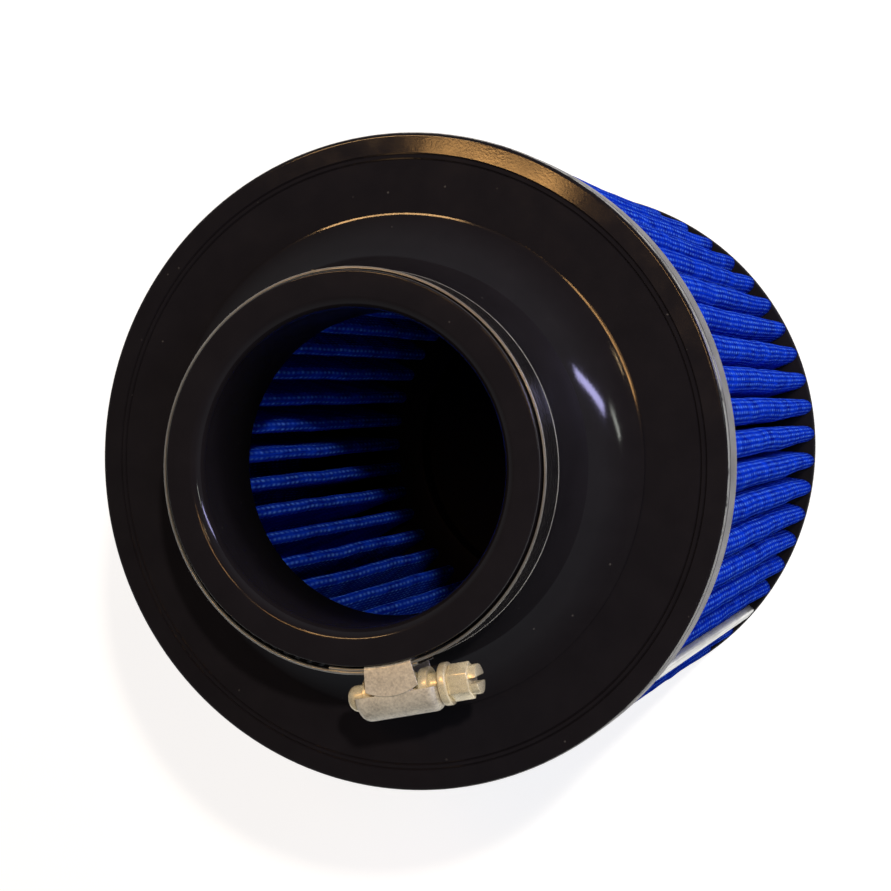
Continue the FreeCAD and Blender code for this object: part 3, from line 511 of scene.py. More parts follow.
def base_outline(sizes):
    """Profile of the base, from its underside out and up to the neck, and down the bore."""
    disc = sizes.base_bottom + sizes.rim_height
    shoulder = disc - sizes.rim_fall
    wall_line = shoulder - sizes.wall_line_drop
    flat_from = 1.2 * sizes.rim_edge
    ring_width = sizes.radius - sizes.ring_line_radius - sizes.line_half
    inner_line = sizes.ring_line_radius - sizes.ring_line_step
    flare_x = sizes.neck_radius + sizes.flare_radius
    crease = disc + sizes.crease_step
    reach = flare_x - sizes.crease_radius
    flare_top = crease + math.sqrt(sizes.flare_radius ** 2 - reach ** 2)
    facet_reach = reach + sizes.crease_facet
    facet_top = flare_top - math.sqrt(sizes.flare_radius ** 2 - facet_reach ** 2)
    start = math.atan2(facet_top - flare_top, -facet_reach) + 2 * math.pi
    # The mouth's rounding starts at a soft corner, and a ring beside it keeps the neck's face flat
    lip = arc((sizes.bore_radius + sizes.bore_lip, sizes.neck_top - sizes.bore_lip), sizes.bore_lip,
              math.pi / 2 + sizes.lip_corner, math.pi, 10)
    lip_start, lip_level = lip[0]
    face_slope = (sizes.neck_top - lip_level) / (sizes.neck_radius - lip_start)
    beside = 0.15 * MM
    outline = [
        (sizes.throat_radius, sizes.base_bottom),
        (sizes.radius, sizes.base_bottom),
        (sizes.radius, wall_line - sizes.line_half),
        (sizes.radius - sizes.line_depth, wall_line),
        (sizes.radius, wall_line + sizes.line_half),
        (sizes.radius, shoulder),
        # The ring stays flat up to its rounded edge
        (sizes.radius - flat_from, shoulder + sizes.rim_fall * flat_from / ring_width),
    ]
    outline += groove(sizes.ring_line_radius, disc, sizes.line_half, sizes.line_depth)
    outline += groove(inner_line, disc, sizes.line_half, sizes.line_depth)
    outline.append((sizes.crease_radius, disc))
    for share in (0, 0.3, 0.7):
        fall = (1 - share) * sizes.crease_facet * math.tan(sizes.crease_tilt)
        outline.append((sizes.crease_radius - share * sizes.crease_facet, facet_top - fall))
    outline += arc((flare_x, flare_top), sizes.flare_radius, start, math.pi, 16)
    outline += [
        (sizes.neck_radius, sizes.neck_top),
        (lip_start + beside, lip_level + face_slope * beside),
    ]
    outline += lip
    outline += [
        (sizes.bore_radius, sizes.neck_top - sizes.bore_length),
        (sizes.throat_radius, sizes.base_bottom + sizes.throat_height),
    ]
    return outline


class MouldBase(bpy.types.Operator):
    """Turn the rubber base, with its disc, flared shoulder, neck and bore"""
    bl_idname = "air_filter.mould_base"
    bl_label = "Mould Base"

    def execute(self, context):
        sizes = context.scene.filter_moulding
        disc = sizes.base_bottom + sizes.rim_height
        bm = bmesh.new()
        turn_about_axis(bm, base_outline(sizes), closed=True)
        round_rings(bm, [
            (sizes.radius, disc - sizes.rim_fall, sizes.rim_edge),
            (sizes.radius, sizes.base_bottom, sizes.rim_edge),
            (sizes.neck_radius, sizes.neck_top, sizes.neck_edge),
        ])
        edge_bottom = disc - sizes.rim_fall - sizes.rim_edge
        # The wall, the front edge with its painted highlight and the bore have finishes 1, 2 and 3 of
        # the list below
        for face in bm.faces:
            middle = face.calc_center_median()
            if all(v.co.xy.length > sizes.radius - 0.1 * MM for v in face.verts):
                face.material_index = 1
            # Painted highlight: the outermost part of the front edge's rounding gets the pale finish
            if middle.z > edge_bottom and middle.xy.length > sizes.radius - sizes.rim_edge / 4:
                face.material_index = 2
            if middle.xy.length < sizes.throat_radius and middle.z < sizes.neck_top - sizes.bore_lip:
                face.material_index = 3
        make_piece(bm, "rubber_base", "base_flange", "filter", [
            # Polished mould: it mirrors the lamps sharply
            rubber_material("moulded_black_rubber", sizes.rubber, gloss=0.08, dull=0.14),
            # Cut face: soft reflections that turn pale at a flat angle
            rubber_material("trimmed_rubber_wall", sizes.trimmed, gloss=0.3, dull=0.4, shine=0.12),
            edge_highlight_material(sizes),
            # Dusty bore: nearly no reflections
            rubber_material("dull_rubber_bore", sizes.rubber, gloss=0.4, dull=0.5, shine=0.2),
        ])
        return {"FINISHED"}


class MouldCap(bpy.types.Operator):
    """Turn the closing disc, with its rounded edge and the well inside"""
    bl_idname = "air_filter.mould_cap"
    bl_label = "Mould Cap"

    def execute(self, context):
        sizes = context.scene.filter_moulding
        bm = bmesh.new()
        turn_about_axis(bm, [
            (0, CAP_LOW.z),
            (sizes.radius / 2, CAP_LOW.z),
            (sizes.radius, CAP_LOW.z),
            (sizes.radius, sizes.cap_rim),
            (sizes.cap_crest_radius, sizes.cap_crest),
            (sizes.cap_well, sizes.cap_crest),
            (sizes.cap_well, sizes.cap_floor),
            (sizes.cap_well / 2, sizes.cap_floor),
            (0, sizes.cap_floor),
        ], closed=False)
        round_rings(bm, [
            (sizes.radius, CAP_LOW.z, sizes.cap_edge),
            (sizes.radius, sizes.cap_rim, sizes.rim_edge),
            (sizes.cap_well, sizes.cap_crest, sizes.rim_edge),
        ])
        # Cast in an open mould: matt and deep black
        finish = rubber_material("cast_black_rubber", sizes.cast, gloss=0.45, dull=0.6, shine=0.12)
        make_piece(bm, "rubber_cap", "end_cap", "filter", [finish])
        return {"FINISHED"}


# Pleated gauze and its seam


def along(turn):
    """Unit vector at an angle about the filter's axis."""
    return Vector((math.cos(turn), math.sin(turn), 0))


def short_turn(start, end):
    """Signed angle from one direction to another, the short way round."""
    return (end - start + math.pi) % (2 * math.pi) - math.pi


def ease(low, high, value):
    """Smooth share of the way from low to high."""
    share = min(1, max(0, (value - low) / (high - low)))
    return share * share * (3 - 2 * share)


def even_turn(pleats, turn):
    """Where a direction would be if the pleats didn't crowd together on the +X side."""
    even = turn
    for _ in range(40):
        even = turn + pleats.crowding * math.sin(even)
    return even


def pleat_angle(pleats, step):
    """Direction of an outer fold (whole step) or of the inner fold between two (half step)."""
    even = even_turn(pleats, pleats.seam_angle) + 2 * math.pi * step / pleats.count
    return even - pleats.crowding * math.sin(even)


def pinched(pleats, place):
    """Where a point of the sheet lies once its ridge is drawn in at the cap and spread at the base."""
    reach = place.xy.length
    turn = math.atan2(place.y, place.x)
    from_seam = short_turn(even_turn(pleats, pleats.seam_angle), even_turn(pleats, turn))
    step = round(from_seam * pleats.count / (2 * math.pi))
    if step == 0:
        # The two ends of the sheet stay in their strip
        return place
    crown = pleat_angle(pleats, step)
    # Inner folds keep their course, and ridges change only towards their ends
    depth = pleats.outer_radius - pleats.inner_radius
    outside = ease(pleats.inner_radius + 0.25 * depth, pleats.outer_radius - 0.15 * depth, reach)
    height = (place.z - pleats.bottom) / (pleats.top - pleats.bottom)
    narrow = pleats.pinch * ease(0.4, 0.02, height)
    wide = pleats.spread * ease(0.55, 0.95, height)
    squeeze = outside * (narrow - wide)
    turn = crown + short_turn(crown, turn) * (1 - squeeze)
    reach += pleats.swell * outside * ease(0.25, 0.02, height)
    return Vector((reach * math.cos(turn), reach * math.sin(turn), place.z))


def fold(pleats, step, outward):
    """Centre, middle radius and crown direction of a fold, which fills its share but for the gap."""
    share = pleat_angle(pleats, step + 0.5) - pleat_angle(pleats, step - 0.5)
    way = along(pleat_angle(pleats, step))
    smallest = pleats.thickness + pleats.smallest_fold
    if outward:
        radius = max(smallest, (share * pleats.outer_radius - pleats.ridge_gap) / (2 + share))
        return way * (pleats.outer_radius - radius), radius - pleats.thickness / 2, way
    radius = max(smallest, (share * pleats.inner_radius - pleats.fold_gap) / (2 - share))
    return way * (pleats.inner_radius + radius), radius - pleats.thickness / 2, -way


def sheet_folds(pleats):
    """End of the sheet, inner fold, outer fold and so on, to the other end."""
    seam = along(pleats.seam_angle)
    aside = Vector((-seam.y, seam.x, 0)) * (pleats.end_gap + pleats.thickness) / 2
    tip = seam * (pleats.clip_outside - pleats.clip_wall - pleats.clip_clearance)
    folds = [(tip + aside, 0.0, None)]
    for step in range(pleats.count):
        folds.append(fold(pleats, step + 0.5, False))
        if step + 1 < pleats.count:
            folds.append(fold(pleats, step + 1, True))
    folds.append((tip - aside, 0.0, None))
    return folds


def round_fold(centre, radius, crown, start, end, half_steps):
    """Points of a fold between its two legs, through its crown."""
    top = math.atan2(crown.y, crown.x)
    before = short_turn(math.atan2(*(start - centre).yx), top)
    after = short_turn(top, math.atan2(*(end - centre).yx))
    turns = [top - before * (1 - step / half_steps) for step in range(1, half_steps + 1)]
    turns += [top + after * step / half_steps for step in range(1, half_steps)]
    return [centre + along(turn) * radius for turn in turns]


# Points on a leg of a pleat, and steps from a fold's leg to its crown
LEG_POINTS = 4
FOLD_HALF = 4


def sheet_course(pleats):
    """Points along the middle of the folded sheet, from one end at the seam round to the other."""
    folds = sheet_folds(pleats)
    legs = []
    for index in range(len(folds) - 1):
        here, here_radius, _ = folds[index]
        there, there_radius, _ = folds[index + 1]
        way = there - here
        lean = math.acos((here_radius + there_radius) / way.length)
        heading = math.atan2(way.y, way.x)
        square = along(heading - lean if index % 2 == 0 else heading + lean)
        legs.append((here + square * here_radius, there - square * there_radius))
    points = []
    for index, (start, end) in enumerate(legs):
        if index:
            points += round_fold(*folds[index], legs[index - 1][1], start, FOLD_HALF)
        points += [start.lerp(end, step / (LEG_POINTS - 1)) for step in range(LEG_POINTS)]
    return points


def net_places(travelled, step):
    """Places of the points on the net, stretched a little so that each crown lies between two wires."""
    first_crown = LEG_POINTS + FOLD_HALF - 1
    crown_step = LEG_POINTS + 2 * FOLD_HALF - 1
    last = len(travelled) - 1
    marks = [0, *range(first_crown, last, crown_step), last]
    places = [0]
    for start, end in zip(marks, marks[1:]):
        span = travelled[end] - travelled[start]
        stretch = round(span / step) * step / span
        begun = places[-1]
        places += [begun + (here - travelled[start]) * stretch for here in travelled[start + 1:end + 1]]
    return places


class FoldGauze(bpy.types.Operator):
    """Fold the gauze sheet into pleats between the base and the cap"""
    bl_idname = "air_filter.fold_gauze"
    bl_label = "Fold Gauze"

    def execute(self, context):
        pleats = context.scene.filter_pleats
        levels = 20
        bm = bmesh.new()
        on_net = bm.verts.layers.float.new("on_net")
        points = sheet_course(pleats)
        travelled = [0]
        for before, here in zip(points, points[1:]):
            travelled.append(travelled[-1] + (here - before).length)
        foot, edges = chain(bm, [(point.x, point.y, pleats.bottom) for point in points])
        for vert, place in zip(foot, net_places(travelled, pleats.wire_step)):
            vert[on_net] = place
        rise = (pleats.top - pleats.bottom) / levels
        for _ in range(levels):
            made = bmesh.ops.extrude_edge_only(bm, edges=edges)["geom"]
            raised = set(verts_of(made))
            edges = [item for item in made
                     if isinstance(item, bmesh.types.BMEdge) and raised.issuperset(item.verts)]
            bmesh.ops.translate(bm, verts=list(raised), vec=(0, 0, rise))
        bmesh.ops.recalc_face_normals(bm, faces=bm.faces)
        uv = bm.loops.layers.uv.new("course")
        for face in bm.faces:
            for loop in face.loops:
                loop[uv].uv = (loop.vert[on_net], loop.vert.co.z)
        noise.seed_set(pleats.wander_seed)
        for vert in bm.verts:
            # The cast ends hold the sheet to its course, and it wanders most half way up
            share = (vert.co.z - pleats.bottom) / (pleats.top - pleats.bottom)
            wander = pleats.waviness * math.sin(math.pi * share)
            drift = noise.noise_vector(vert.co / pleats.wander_length) * wander
            vert.co = pinched(pleats, vert.co)
            vert.co.xy += drift.xy
        piece = make_piece(bm, "gauze_pleats", "pleated_media", "filter",
                           [gauze_material(pleats)])
        wall = piece.modifiers.new("wall", "SOLIDIFY")
        wall.thickness = pleats.thickness
        wall.offset = 0
        return {"FINISHED"}


class FitSeamStrip(bpy.types.Operator):
    """Bend the aluminium strip that grips the two ends of the gauze"""
    bl_idname = "air_filter.fit_seam_strip"
    bl_label = "Fit Seam Strip"

    def execute(self, context):
        pleats = context.scene.filter_pleats
        half = pleats.end_gap / 2 + pleats.thickness + pleats.clip_clearance + pleats.clip_wall / 2
        face = pleats.clip_outside - pleats.clip_wall / 2
        inner = pleats.clip_outside - pleats.clip_depth
        bm = bmesh.new()
        _, edges = chain(bm, [(inner, -half, CLIP_LOW.z), (face, -half, CLIP_LOW.z),
                              (face, half, CLIP_LOW.z), (inner, half, CLIP_LOW.z)])
        made = bmesh.ops.extrude_edge_only(bm, edges=edges)["geom"]
        bmesh.ops.translate(bm, verts=verts_of(made), vec=(0, 0, CLIP_HIGH.z - CLIP_LOW.z))
        bends = [edge for edge in bm.edges if len(edge.link_faces) == 2]
        round_edges(bm, bends, pleats.clip_bend, 4)
        bmesh.ops.rotate(bm, verts=bm.verts, cent=(0, 0, 0),
                         matrix=Matrix.Rotation(pleats.seam_angle, 3, "Z"))
        bmesh.ops.recalc_face_normals(bm, faces=bm.faces)
        # Bright rolled sheet: pale, with soft lines that run up the strip
        finish = metal_material("bright_rolled_aluminium", pleats.strip, gloss=0.3, dull=0.5,
                                grain=(0.5 * MM, 0.5 * MM, 60 * MM), stain=25 * MM)
        piece = make_piece(bm, "seam_strip", "seam_clip", "filter", [finish])
        thicken(piece, pleats.clip_wall, pleats.clip_edge)
        return {"FINISHED"}


# Worm clamp


# Fine speckle of the dull zinc, drawn at 0.6 mm so that it shows
ZINC_GRAIN = (0.6 * MM, 0.6 * MM, 0.6 * MM)


class WrapBand(bpy.types.Operator):
    """Wrap the slotted steel band round the neck, with its tail over its fixed end"""
    bl_idname = "air_filter.wrap_band"
    bl_label = "Wrap Band"

    def execute(self, context):
        clamp = context.scene.filter_clamp
        half = clamp.band_width / 2
        flat = half - clamp.lip_width
        slot_half = clamp.slot_length / 2
        middle = clamp.band_inner + clamp.band_thickness / 2
        lip = middle + clamp.lip_rise
        section = [(lip, -half), (middle, -flat), (middle, -slot_half),
                   (middle, slot_half), (middle, flat), (lip, half)]
        columns_per_slot = 5
        column = clamp.slot_step / columns_per_slot
        bm = bmesh.new()
        tail, tail_edges = chain(bm, [(0, reach, level) for reach, level in section])
        tail_turn = math.pi + clamp.tail_angle
        bmesh.ops.spin(bm, geom=tail + tail_edges, cent=(0, 0, 0), axis=(0, 0, 1), angle=tail_turn,
                       steps=round(tail_turn / column))
        self.cut_slots(bm, clamp, column, columns_per_slot, slot_half)
        fixed, fixed_edges = chain(bm, [(0, reach, level) for reach, level in section])
        fixed_turn = math.pi + clamp.tongue_angle
        bmesh.ops.spin(bm, geom=fixed + fixed_edges, cent=(0, clamp.layer_step / 2, 0), axis=(0, 0, 1),
                       angle=-fixed_turn, steps=round(fixed_turn / column / 2))
        bmesh.ops.remove_doubles(bm, verts=bm.verts, dist=MERGE)
        bmesh.ops.recalc_face_normals(bm, faces=bm.faces)
        # Painted highlight: the turned edges get the paler finish
        for face in bm.faces:
            if abs(face.calc_center_median().z) > flat:
                face.material_index = 1
        bmesh.ops.transform(bm, matrix=clamp_place(clamp), verts=bm.verts)
        # Rolled lines run round the band, so they vary only across it, and its turned edges are painted
        # paler, as a highlight
        rolled = {"grain": (40 * MM, 40 * MM, 0.4 * MM), "stain": 9 * MM}
        face_finish = metal_material("rolled_stainless_strip", clamp.band_steel, gloss=0.16, dull=0.28,
                                     **rolled)
        edge_highlight_finish = metal_material("stainless_edge_highlight", clamp.band_edge_highlight, gloss=0.25, dull=0.4,
                                     **rolled, bare=0.9)
        piece = make_piece(bm, "clamp_strip", "clamp_band", "filter",
                           [face_finish, edge_highlight_finish])
        thicken(piece, clamp.band_thickness, clamp.strip_edge)
        return {"FINISHED"}

    def cut_slots(self, bm, clamp, column, columns_per_slot, slot_half):
        """Open the slots, two columns wide, from under the housing round the tail, and lean them."""
        gone = []
        for face in bm.faces:
            middle = face.calc_center_median()
            if abs(middle.z) > slot_half:
                continue
            # Columns are counted from the housing's middle, clockwise
            turn = -math.pi / 2 - math.atan2(middle.y, middle.x)
            place = (turn % (2 * math.pi)) / column
            slot = round(place / columns_per_slot) % round(2 * math.pi / clamp.slot_step)
            from_slot = short_turn(slot * clamp.slot_step, turn)
            if slot < clamp.slot_count and abs(from_slot) < column:
                gone.append(face)
        bmesh.ops.delete(bm, geom=gone, context="FACES")
        lean = clamp.slot_lean / 2 / clamp.band_inner
        for side in (-1, 1):
            row = [v for v in bm.verts if abs(v.co.z - side * slot_half) < SAME]
            bmesh.ops.rotate(bm, verts=row, cent=(0, 0, 0), matrix=Matrix.Rotation(side * lean, 3, "Z"))


class BendSaddle(bpy.types.Operator):
    """Bend the strap that goes under the band and up both sides of the housing"""
    bl_idname = "air_filter.bend_saddle"
    bl_label = "Bend Saddle"

    def execute(self, context):
        clamp = context.scene.filter_clamp
        wall = clamp.saddle_wall / 2
        side = clamp.saddle_half - wall
        seat = clamp.saddle_inner + wall
        bm = bmesh.new()
        verts, edges = chain(bm, [(0, -clamp.saddle_outer, -side), (0, -seat, -side),
                                  (0, -seat, side), (0, -clamp.saddle_outer, side)])
        bmesh.ops.rotate(bm, verts=verts, cent=(0, 0, 0),
                         matrix=Matrix.Rotation(-clamp.saddle_angle / 2, 3, "Z"))
        bmesh.ops.spin(bm, geom=verts + edges, cent=(0, 0, 0), axis=(0, 0, 1), angle=clamp.saddle_angle,
                       steps=10)
        for vert in bm.verts:
            # The ends bulge in the middle, and their corners are rounded off
            aside = short_turn(-math.pi / 2, math.atan2(vert.co.y, vert.co.x)) / (clamp.saddle_angle / 2)
            if vert.co.xy.length > clamp.saddle_outer - SAME:
                vert.co.xy *= 1 - clamp.saddle_round * aside ** 2 / clamp.saddle_outer
        bends = [edge for edge in bm.edges
                 if len(edge.link_faces) == 2 and edge.calc_face_angle() > math.radians(60)]
        round_edges(bm, bends, clamp.strap_bend, 4)
        bmesh.ops.recalc_face_normals(bm, faces=bm.faces)
        bmesh.ops.transform(bm, matrix=clamp_place(clamp), verts=bm.verts)
        # Zinc gone dull: speckled grey, with soft reflections
        finish = metal_material("dull_zinc_strap", clamp.barrel_steel, gloss=0.45, dull=0.6,
                                grain=ZINC_GRAIN, stain=4 * MM, bare=0.6)
        piece = make_piece(bm, "clamp_strap", "clamp_saddle", "filter", [finish])
        thicken(piece, clamp.saddle_wall, clamp.strip_edge)
        return {"FINISHED"}


class PressHousing(bpy.types.Operator):
    """Press the half-round barrel that covers the screw, with a half-round bearing in each end"""
    bl_idname = "air_filter.press_housing"
    bl_label = "Press Housing"

    def execute(self, context):
        clamp = context.scene.filter_clamp
        rise = clamp.screw_reach - clamp.housing_foot
        bm = bmesh.new()
        rings = self.list_rings(clamp, rise)
        loops = [chain(bm, ring, closed=True)[1] for ring in rings]
        for near, far in zip(loops, loops[1:]):
            bmesh.ops.bridge_loops(bm, edges=near + far)
        foot_slack = 0.03 * MM
        open_side = [face for face in bm.faces
                     if all(abs(v.co.y - rise) < foot_slack for v in face.verts)]
        bmesh.ops.delete(bm, geom=open_side, context="FACES")
        bmesh.ops.recalc_face_normals(bm, faces=bm.faces)
        on_screw = Matrix.Translation((0, -clamp.screw_reach, 0))
        bmesh.ops.transform(bm, matrix=clamp_place(clamp) @ on_screw, verts=bm.verts)
        # The strap's dull zinc, under a slightly thicker film
        finish = metal_material("dull_zinc_barrel", clamp.barrel_steel, gloss=0.45, dull=0.6,
                                grain=ZINC_GRAIN, stain=4 * MM, bare=0.55)
        piece = make_piece(bm, "clamp_barrel", "clamp_housing", "filter", [finish])
        thicken(piece, clamp.housing_wall, clamp.barrel_edge, side=-1)
        return {"FINISHED"}

    def section(self, radius, rise, place):
        """Ring of the barrel seen along the screw: round back at -Y, flat foot at +Y."""
        foot_steps = 8
        back = arc((0, 0), radius, -math.pi, 0, 20)
        foot = [(radius - 2 * radius * step / foot_steps, rise) for step in range(foot_steps + 1)]
        return [Vector((place, y, z)) for z, y in back + foot]

    def list_rings(self, clamp, rise):
        """Rings from one bearing over the rounded ends to the other."""
        half = clamp.housing_length / 2
        corner = clamp.housing_corner
        steps = 6
        near_end = []
        for step in range(steps + 1):
            turn = math.pi / 2 * step / steps
            inset = corner * (1 - math.sin(turn))
            place = half - corner * (1 - math.cos(turn))
            near_end.append(self.section(clamp.housing_radius - inset, rise, place))
        flat_end = near_end[0]
        hole = []
        for point in flat_end:
            way = Vector((0, point.y, point.z)).normalized() * clamp.bearing_radius
            hole.append(Vector((half, min(way.y, rise), way.z)))
        right = [hole] + near_end
        left = [[Vector((-point.x, point.y, point.z)) for point in ring] for ring in right]
        return left + right[::-1]


def screw_outline(clamp):
    """Profile of the turned shaft along X, as (place, radius): tip, journals, worm and collar."""
    barrel_half = clamp.housing_length / 2
    worm_half = clamp.thread_length / 2
    tip = -barrel_half - clamp.tip_length
    dome = clamp.journal_radius * 0.7
    outline = [(tip, 0)]
    outline += arc((tip + dome, clamp.journal_radius - dome), dome, math.pi, math.pi / 2, 6)
    outline += [(-worm_half, clamp.journal_radius), (-worm_half, clamp.thread_radius)]
    grooves = round(clamp.thread_length / clamp.thread_pitch) - 1
    for index in range(grooves):
        middle = (index - (grooves - 1) / 2) * clamp.thread_pitch
        half = clamp.thread_pitch * 0.4
        outline += [(middle - half, clamp.thread_radius),
                    (middle, clamp.thread_radius - clamp.thread_depth),
                    (middle + half, clamp.thread_radius)]
    collar_end = clamp.collar_start + clamp.collar_length
    edge = clamp.collar_edge
    outline += [(worm_half, clamp.thread_radius), (worm_half, clamp.journal_radius),
                (clamp.collar_start, clamp.journal_radius),
                (clamp.collar_start, clamp.collar_radius - edge)]
    edge_centre = clamp.collar_radius - edge
    outline += arc((clamp.collar_start + edge, edge_centre), edge, math.pi, math.pi / 2, 3)
    outline += arc((collar_end - edge, edge_centre), edge, math.pi / 2, 0, 3)
    outline.append((collar_end, 0))
    return outline


class TurnScrew(bpy.types.Operator):
    """Turn the worm screw with its collar, hexagon and slotted crown"""
    bl_idname = "air_filter.turn_screw"
    bl_label = "Turn Screw"

    def execute(self, context):
        clamp = context.scene.filter_clamp
        bm = bmesh.new()
        verts, edges = chain(bm, [(place, radius, 0) for place, radius in screw_outline(clamp)])
        bmesh.ops.spin(bm, geom=verts + edges, cent=(0, 0, 0), axis=(1, 0, 0), angle=2 * math.pi,
                       steps=48, use_merge=True)
        bmesh.ops.remove_doubles(bm, verts=bm.verts, dist=MERGE)
        self.add_hexagon(bm, clamp)
        self.add_crown(bm, clamp)
        bmesh.ops.recalc_face_normals(bm, faces=bm.faces)
        turn = Matrix.Rotation(clamp.turn, 4, "Z")
        bmesh.ops.transform(bm, matrix=Matrix.Translation(SCREW_CENTRE) @ turn, verts=bm.verts)
        # Yellow zinc: smoother than the barrel, with small bright spots on its edges
        finish = metal_material("yellow_zinc_screw", clamp.screw_steel, gloss=0.25, dull=0.35,
                                grain=(0.5 * MM, 0.5 * MM, 0.5 * MM), stain=3 * MM, bare=0.5)
        make_piece(bm, "worm_screw", "clamp_screw", "screw", [finish])
        return {"FINISHED"}

    def add_hexagon(self, bm, clamp):
        """Hexagon on the collar, with its corners and edges eased."""
        start = clamp.collar_start + clamp.collar_length
        upright = Matrix.Translation((start + clamp.hex_length / 2, 0, 0)) @ Matrix.Rotation(
            math.pi / 2, 4, "Y")
        corner = clamp.hex_across / math.sqrt(3)
        made = bmesh.ops.create_cone(bm, cap_ends=True, segments=6, radius1=corner, radius2=corner,
                                     depth=clamp.hex_length, matrix=upright)["verts"]
        edges = {edge for vert in made for edge in vert.link_edges}
        round_edges(bm, list(edges), clamp.hex_edge, 3)

    def add_crown(self, bm, clamp):
        """Two half rounds on the hexagon's end, with the screwdriver slot between them."""
        start = clamp.collar_start + clamp.collar_length + clamp.hex_length
        for side in (-1, 1):
            disc = bmesh.ops.create_circle(bm, cap_ends=True, segments=40,
                                           radius=clamp.crown_radius)["verts"]
            faces = {face for vert in disc for face in vert.link_faces}
            edges = {edge for vert in disc for edge in vert.link_edges}
            cut = bmesh.ops.bisect_plane(bm, geom=list(faces) + list(edges) + disc,
                                         plane_co=(0, side * clamp.driver_slot / 2, 0),
                                         plane_no=(0, side, 0), clear_inner=True)
            half = [item for item in cut["geom"]
                    if isinstance(item, bmesh.types.BMFace) and item.is_valid]
            top = verts_of(bmesh.ops.extrude_face_region(bm, geom=half, use_keep_orig=True)["geom"])
            bmesh.ops.translate(bm, verts=top, vec=(0, 0, clamp.crown_length))
            block = {vert for face in half for vert in face.verts} | set(top)
            rim = {edge for vert in top for edge in vert.link_edges if all(v in top for v in edge.verts)}
            bmesh.ops.transform(bm, verts=list(block), matrix=Matrix.Translation((start, 0, 0))
                                @ Matrix.Rotation(math.pi / 2, 4, "Y"))
            round_edges(bm, list(rim), clamp.crown_edge, 2)


# Stage


def add_lamp(name, start, end, width, power, tint, shines=True):
    """Strip lamp from one point to another, turned to the filter. A fill lamp has no reflection."""
    lamp = bpy.data.lights.new(name, "AREA")
    lamp.shape = "RECTANGLE"
    start = Vector(start)
    end = Vector(end)
    lamp.size = (end - start).length
    lamp.size_y = width
    lamp.energy = power
    lamp.color = linear(tint)
    item = bpy.data.objects.new(name, lamp)
    place = (start + end) / 2
    back = (place - Vector((0, 0, BASE_HIGH.z / 2))).normalized()
    side = back.cross(end - start).normalized()
    axes = Matrix((side.cross(back), side, back)).transposed().to_4x4()
    item.matrix_world = Matrix.Translation(place) @ axes
    item.visible_glossy = shines
    bpy.context.scene.collection.objects.link(item)


# Strip lamps: both ends and width in metres, power in watts, colour, and False for a fill lamp
LAMPS = {
    "front_lamp": ((0.404, 0.297, 1.138), (0.444, 0.297, 1.138), 0.04, 8, "#fff4e4", False),
    "fill_lamp": ((0.31, -0.33, 1.12), (0.61, -0.33, 1.12), 0.3, 2, "#ffffff", False),
    "side_lamp": ((0.60, 0.86, 0.40), (0.74, 0.74, 0.40), 0.1, 3, "#ffffff", False),
    "warm_top_lamp": ((-0.203, 0.534, 1.140), (-0.524, 0.501, 1.043), 0.05, 1.5, "#ffc988"),
    "warm_right_lamp": ((0.236, 0.123, 1.252), (0.070, 0.395, 1.213), 0.04, 0.8, "#ffc27a"),
    "ring_lamp": ((-0.116, 0.339, 1.224), (-0.306, 0.400, 1.174), 0.04, 0.5, "#ffbe70"),
    "violet_lamp": ((0.980, 0.598, 0.280), (0.992, 0.298, 0.674), 0.10, 2.8, "#c8c4ff"),
    "grey_lamp": ((0.906, 0.274, 0.821), (0.886, 0.098, 0.892), 0.05, 0.25, "#f0f4ea"),
    "glint_lamp": ((0.404, 0.297, 1.138), (0.434, 0.297, 1.138), 0.03, 0.12, "#ffd9a0"),
}


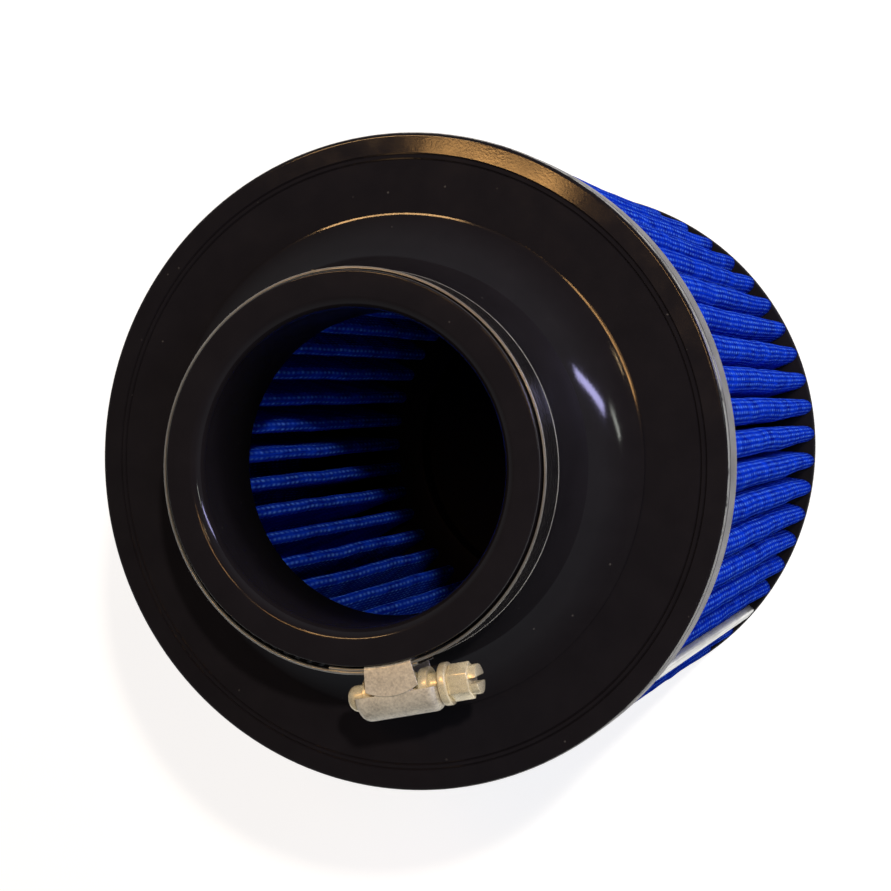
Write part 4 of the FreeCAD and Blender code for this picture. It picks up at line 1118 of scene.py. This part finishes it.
class SetStage(bpy.types.Operator):
    """Set the white floor, the lamps, the dim room and the camera"""
    bl_idname = "air_filter.set_stage"
    bl_label = "Set Stage"

    def execute(self, context):
        stage = context.scene.filter_stage
        self.lay_floor(stage)
        self.dim_room(context, stage)
        for name, settings in LAMPS.items():
            add_lamp(name, *settings)
        self.place_camera(context, stage)
        context.scene.view_settings.view_transform = "Standard"
        return {"FINISHED"}

    def lay_floor(self, stage):
        """Floor that is white to the eye and in reflections, and keeps the filter's shadow."""
        bm = bmesh.new()
        bmesh.ops.create_grid(bm, x_segments=1, y_segments=1, size=stage.floor_half,
                              matrix=Matrix.Translation((0, 0, -stage.floor_gap)))
        mesh = bpy.data.meshes.new("floor")
        bm.to_mesh(mesh)
        bm.free()
        material, tree, shader = new_material("matt_white_floor")
        feed(tree, shader, {"Base Color": (*stage.floor_white, 1), "Roughness": 0.9})
        rays = add_node(tree, "ShaderNodeLightPath").outputs
        seen = rays["Is Camera Ray"]
        for ray in ("Is Glossy Ray", "Is Transmission Ray"):
            either = add_node(tree, "ShaderNodeMath", {"operation": "MAXIMUM"}, {0: seen, 1: rays[ray]})
            seen = either.outputs[0]
        strength = add_node(tree, "ShaderNodeMath", {"operation": "MULTIPLY"}, {
            0: seen, 1: stage.floor_glow})
        glow = add_node(tree, "ShaderNodeEmission", inputs={"Strength": strength.outputs[0]})
        both = add_node(tree, "ShaderNodeAddShader", inputs={
            0: shader.outputs["BSDF"], 1: glow.outputs["Emission"]})
        feed(tree, tree.nodes["Material Output"], {"Surface": both.outputs["Shader"]})
        mesh.materials.append(material)
        floor = bpy.data.objects.new("floor", mesh)
        bpy.context.scene.collection.objects.link(floor)

    def dim_room(self, context, stage):
        """Room that is grey at the height of the stage and dark overhead."""
        world = bpy.data.worlds.new("room")
        world.use_nodes = True
        tree = world.node_tree
        way = add_node(tree, "ShaderNodeTexCoord").outputs["Generated"]
        height = add_node(tree, "ShaderNodeSeparateXYZ", inputs={"Vector": way}).outputs["Z"]
        strength = add_node(tree, "ShaderNodeMapRange", inputs={
            "Value": height, "From Min": 0.3, "From Max": 0.8, "To Min": 1, "To Max": 0.2})
        feed(tree, tree.nodes["Background"], {
            "Color": (*stage.room, 1), "Strength": strength.outputs["Result"]})
        context.scene.world = world

    def place_camera(self, context, stage):
        """Camera at the photograph's viewing angle."""
        data = bpy.data.cameras.new("camera")
        data.lens = stage.focal_length
        data.sensor_width = 36
        sight = Vector(stage.camera_sight).normalized()
        right = sight.cross(Vector(stage.camera_up)).normalized()
        up = right.cross(sight)
        camera = bpy.data.objects.new("camera", data)
        axes = Matrix((right, up, -sight)).transposed().to_4x4()
        camera.matrix_world = Matrix.Translation(Vector(stage.camera_place)) @ axes
        context.scene.collection.objects.link(camera)
        context.scene.camera = camera


# Add-on


class FilterPanel(bpy.types.Panel):
    """Sizes, colours and building steps of the air filter"""
    bl_idname = "VIEW3D_PT_air_filter"
    bl_label = "Air Filter"
    bl_space_type = "VIEW_3D"
    bl_region_type = "UI"
    bl_category = "Air Filter"

    def draw(self, context):
        layout = self.layout
        for operator in OPERATORS:
            layout.operator(operator.bl_idname)
        for title, name in GROUPS:
            box = layout.box()
            box.label(text=title)
            settings = getattr(context.scene, name)
            for key in settings.bl_rna.properties.keys():
                if key not in ("name", "rna_type"):
                    box.prop(settings, key)


OPERATORS = (MouldBase, MouldCap, FoldGauze, FitSeamStrip, WrapBand, BendSaddle, PressHousing, TurnScrew,
             SetStage)
GROUPS = (("Mouldings", "filter_moulding"), ("Pleats", "filter_pleats"), ("Clamp", "filter_clamp"),
          ("Stage", "filter_stage"))
SETTINGS = (MouldingSizes, PleatSizes, ClampSizes, StageSettings)


def register():
    for item in SETTINGS + OPERATORS + (FilterPanel,):
        bpy.utils.register_class(item)
    for (_, name), settings in zip(GROUPS, SETTINGS):
        setattr(bpy.types.Scene, name, bpy.props.PointerProperty(type=settings))


def unregister():
    for _, name in GROUPS:
        delattr(bpy.types.Scene, name)
    for item in reversed(SETTINGS + OPERATORS + (FilterPanel,)):
        bpy.utils.unregister_class(item)


def main():
    register()
    bpy.ops.air_filter.mould_base()
    bpy.ops.air_filter.mould_cap()
    bpy.ops.air_filter.fold_gauze()
    bpy.ops.air_filter.fit_seam_strip()
    bpy.ops.air_filter.wrap_band()
    bpy.ops.air_filter.bend_saddle()
    bpy.ops.air_filter.press_housing()
    bpy.ops.air_filter.turn_screw()
    bpy.ops.air_filter.set_stage()


if __name__ == "__main__":
    main()
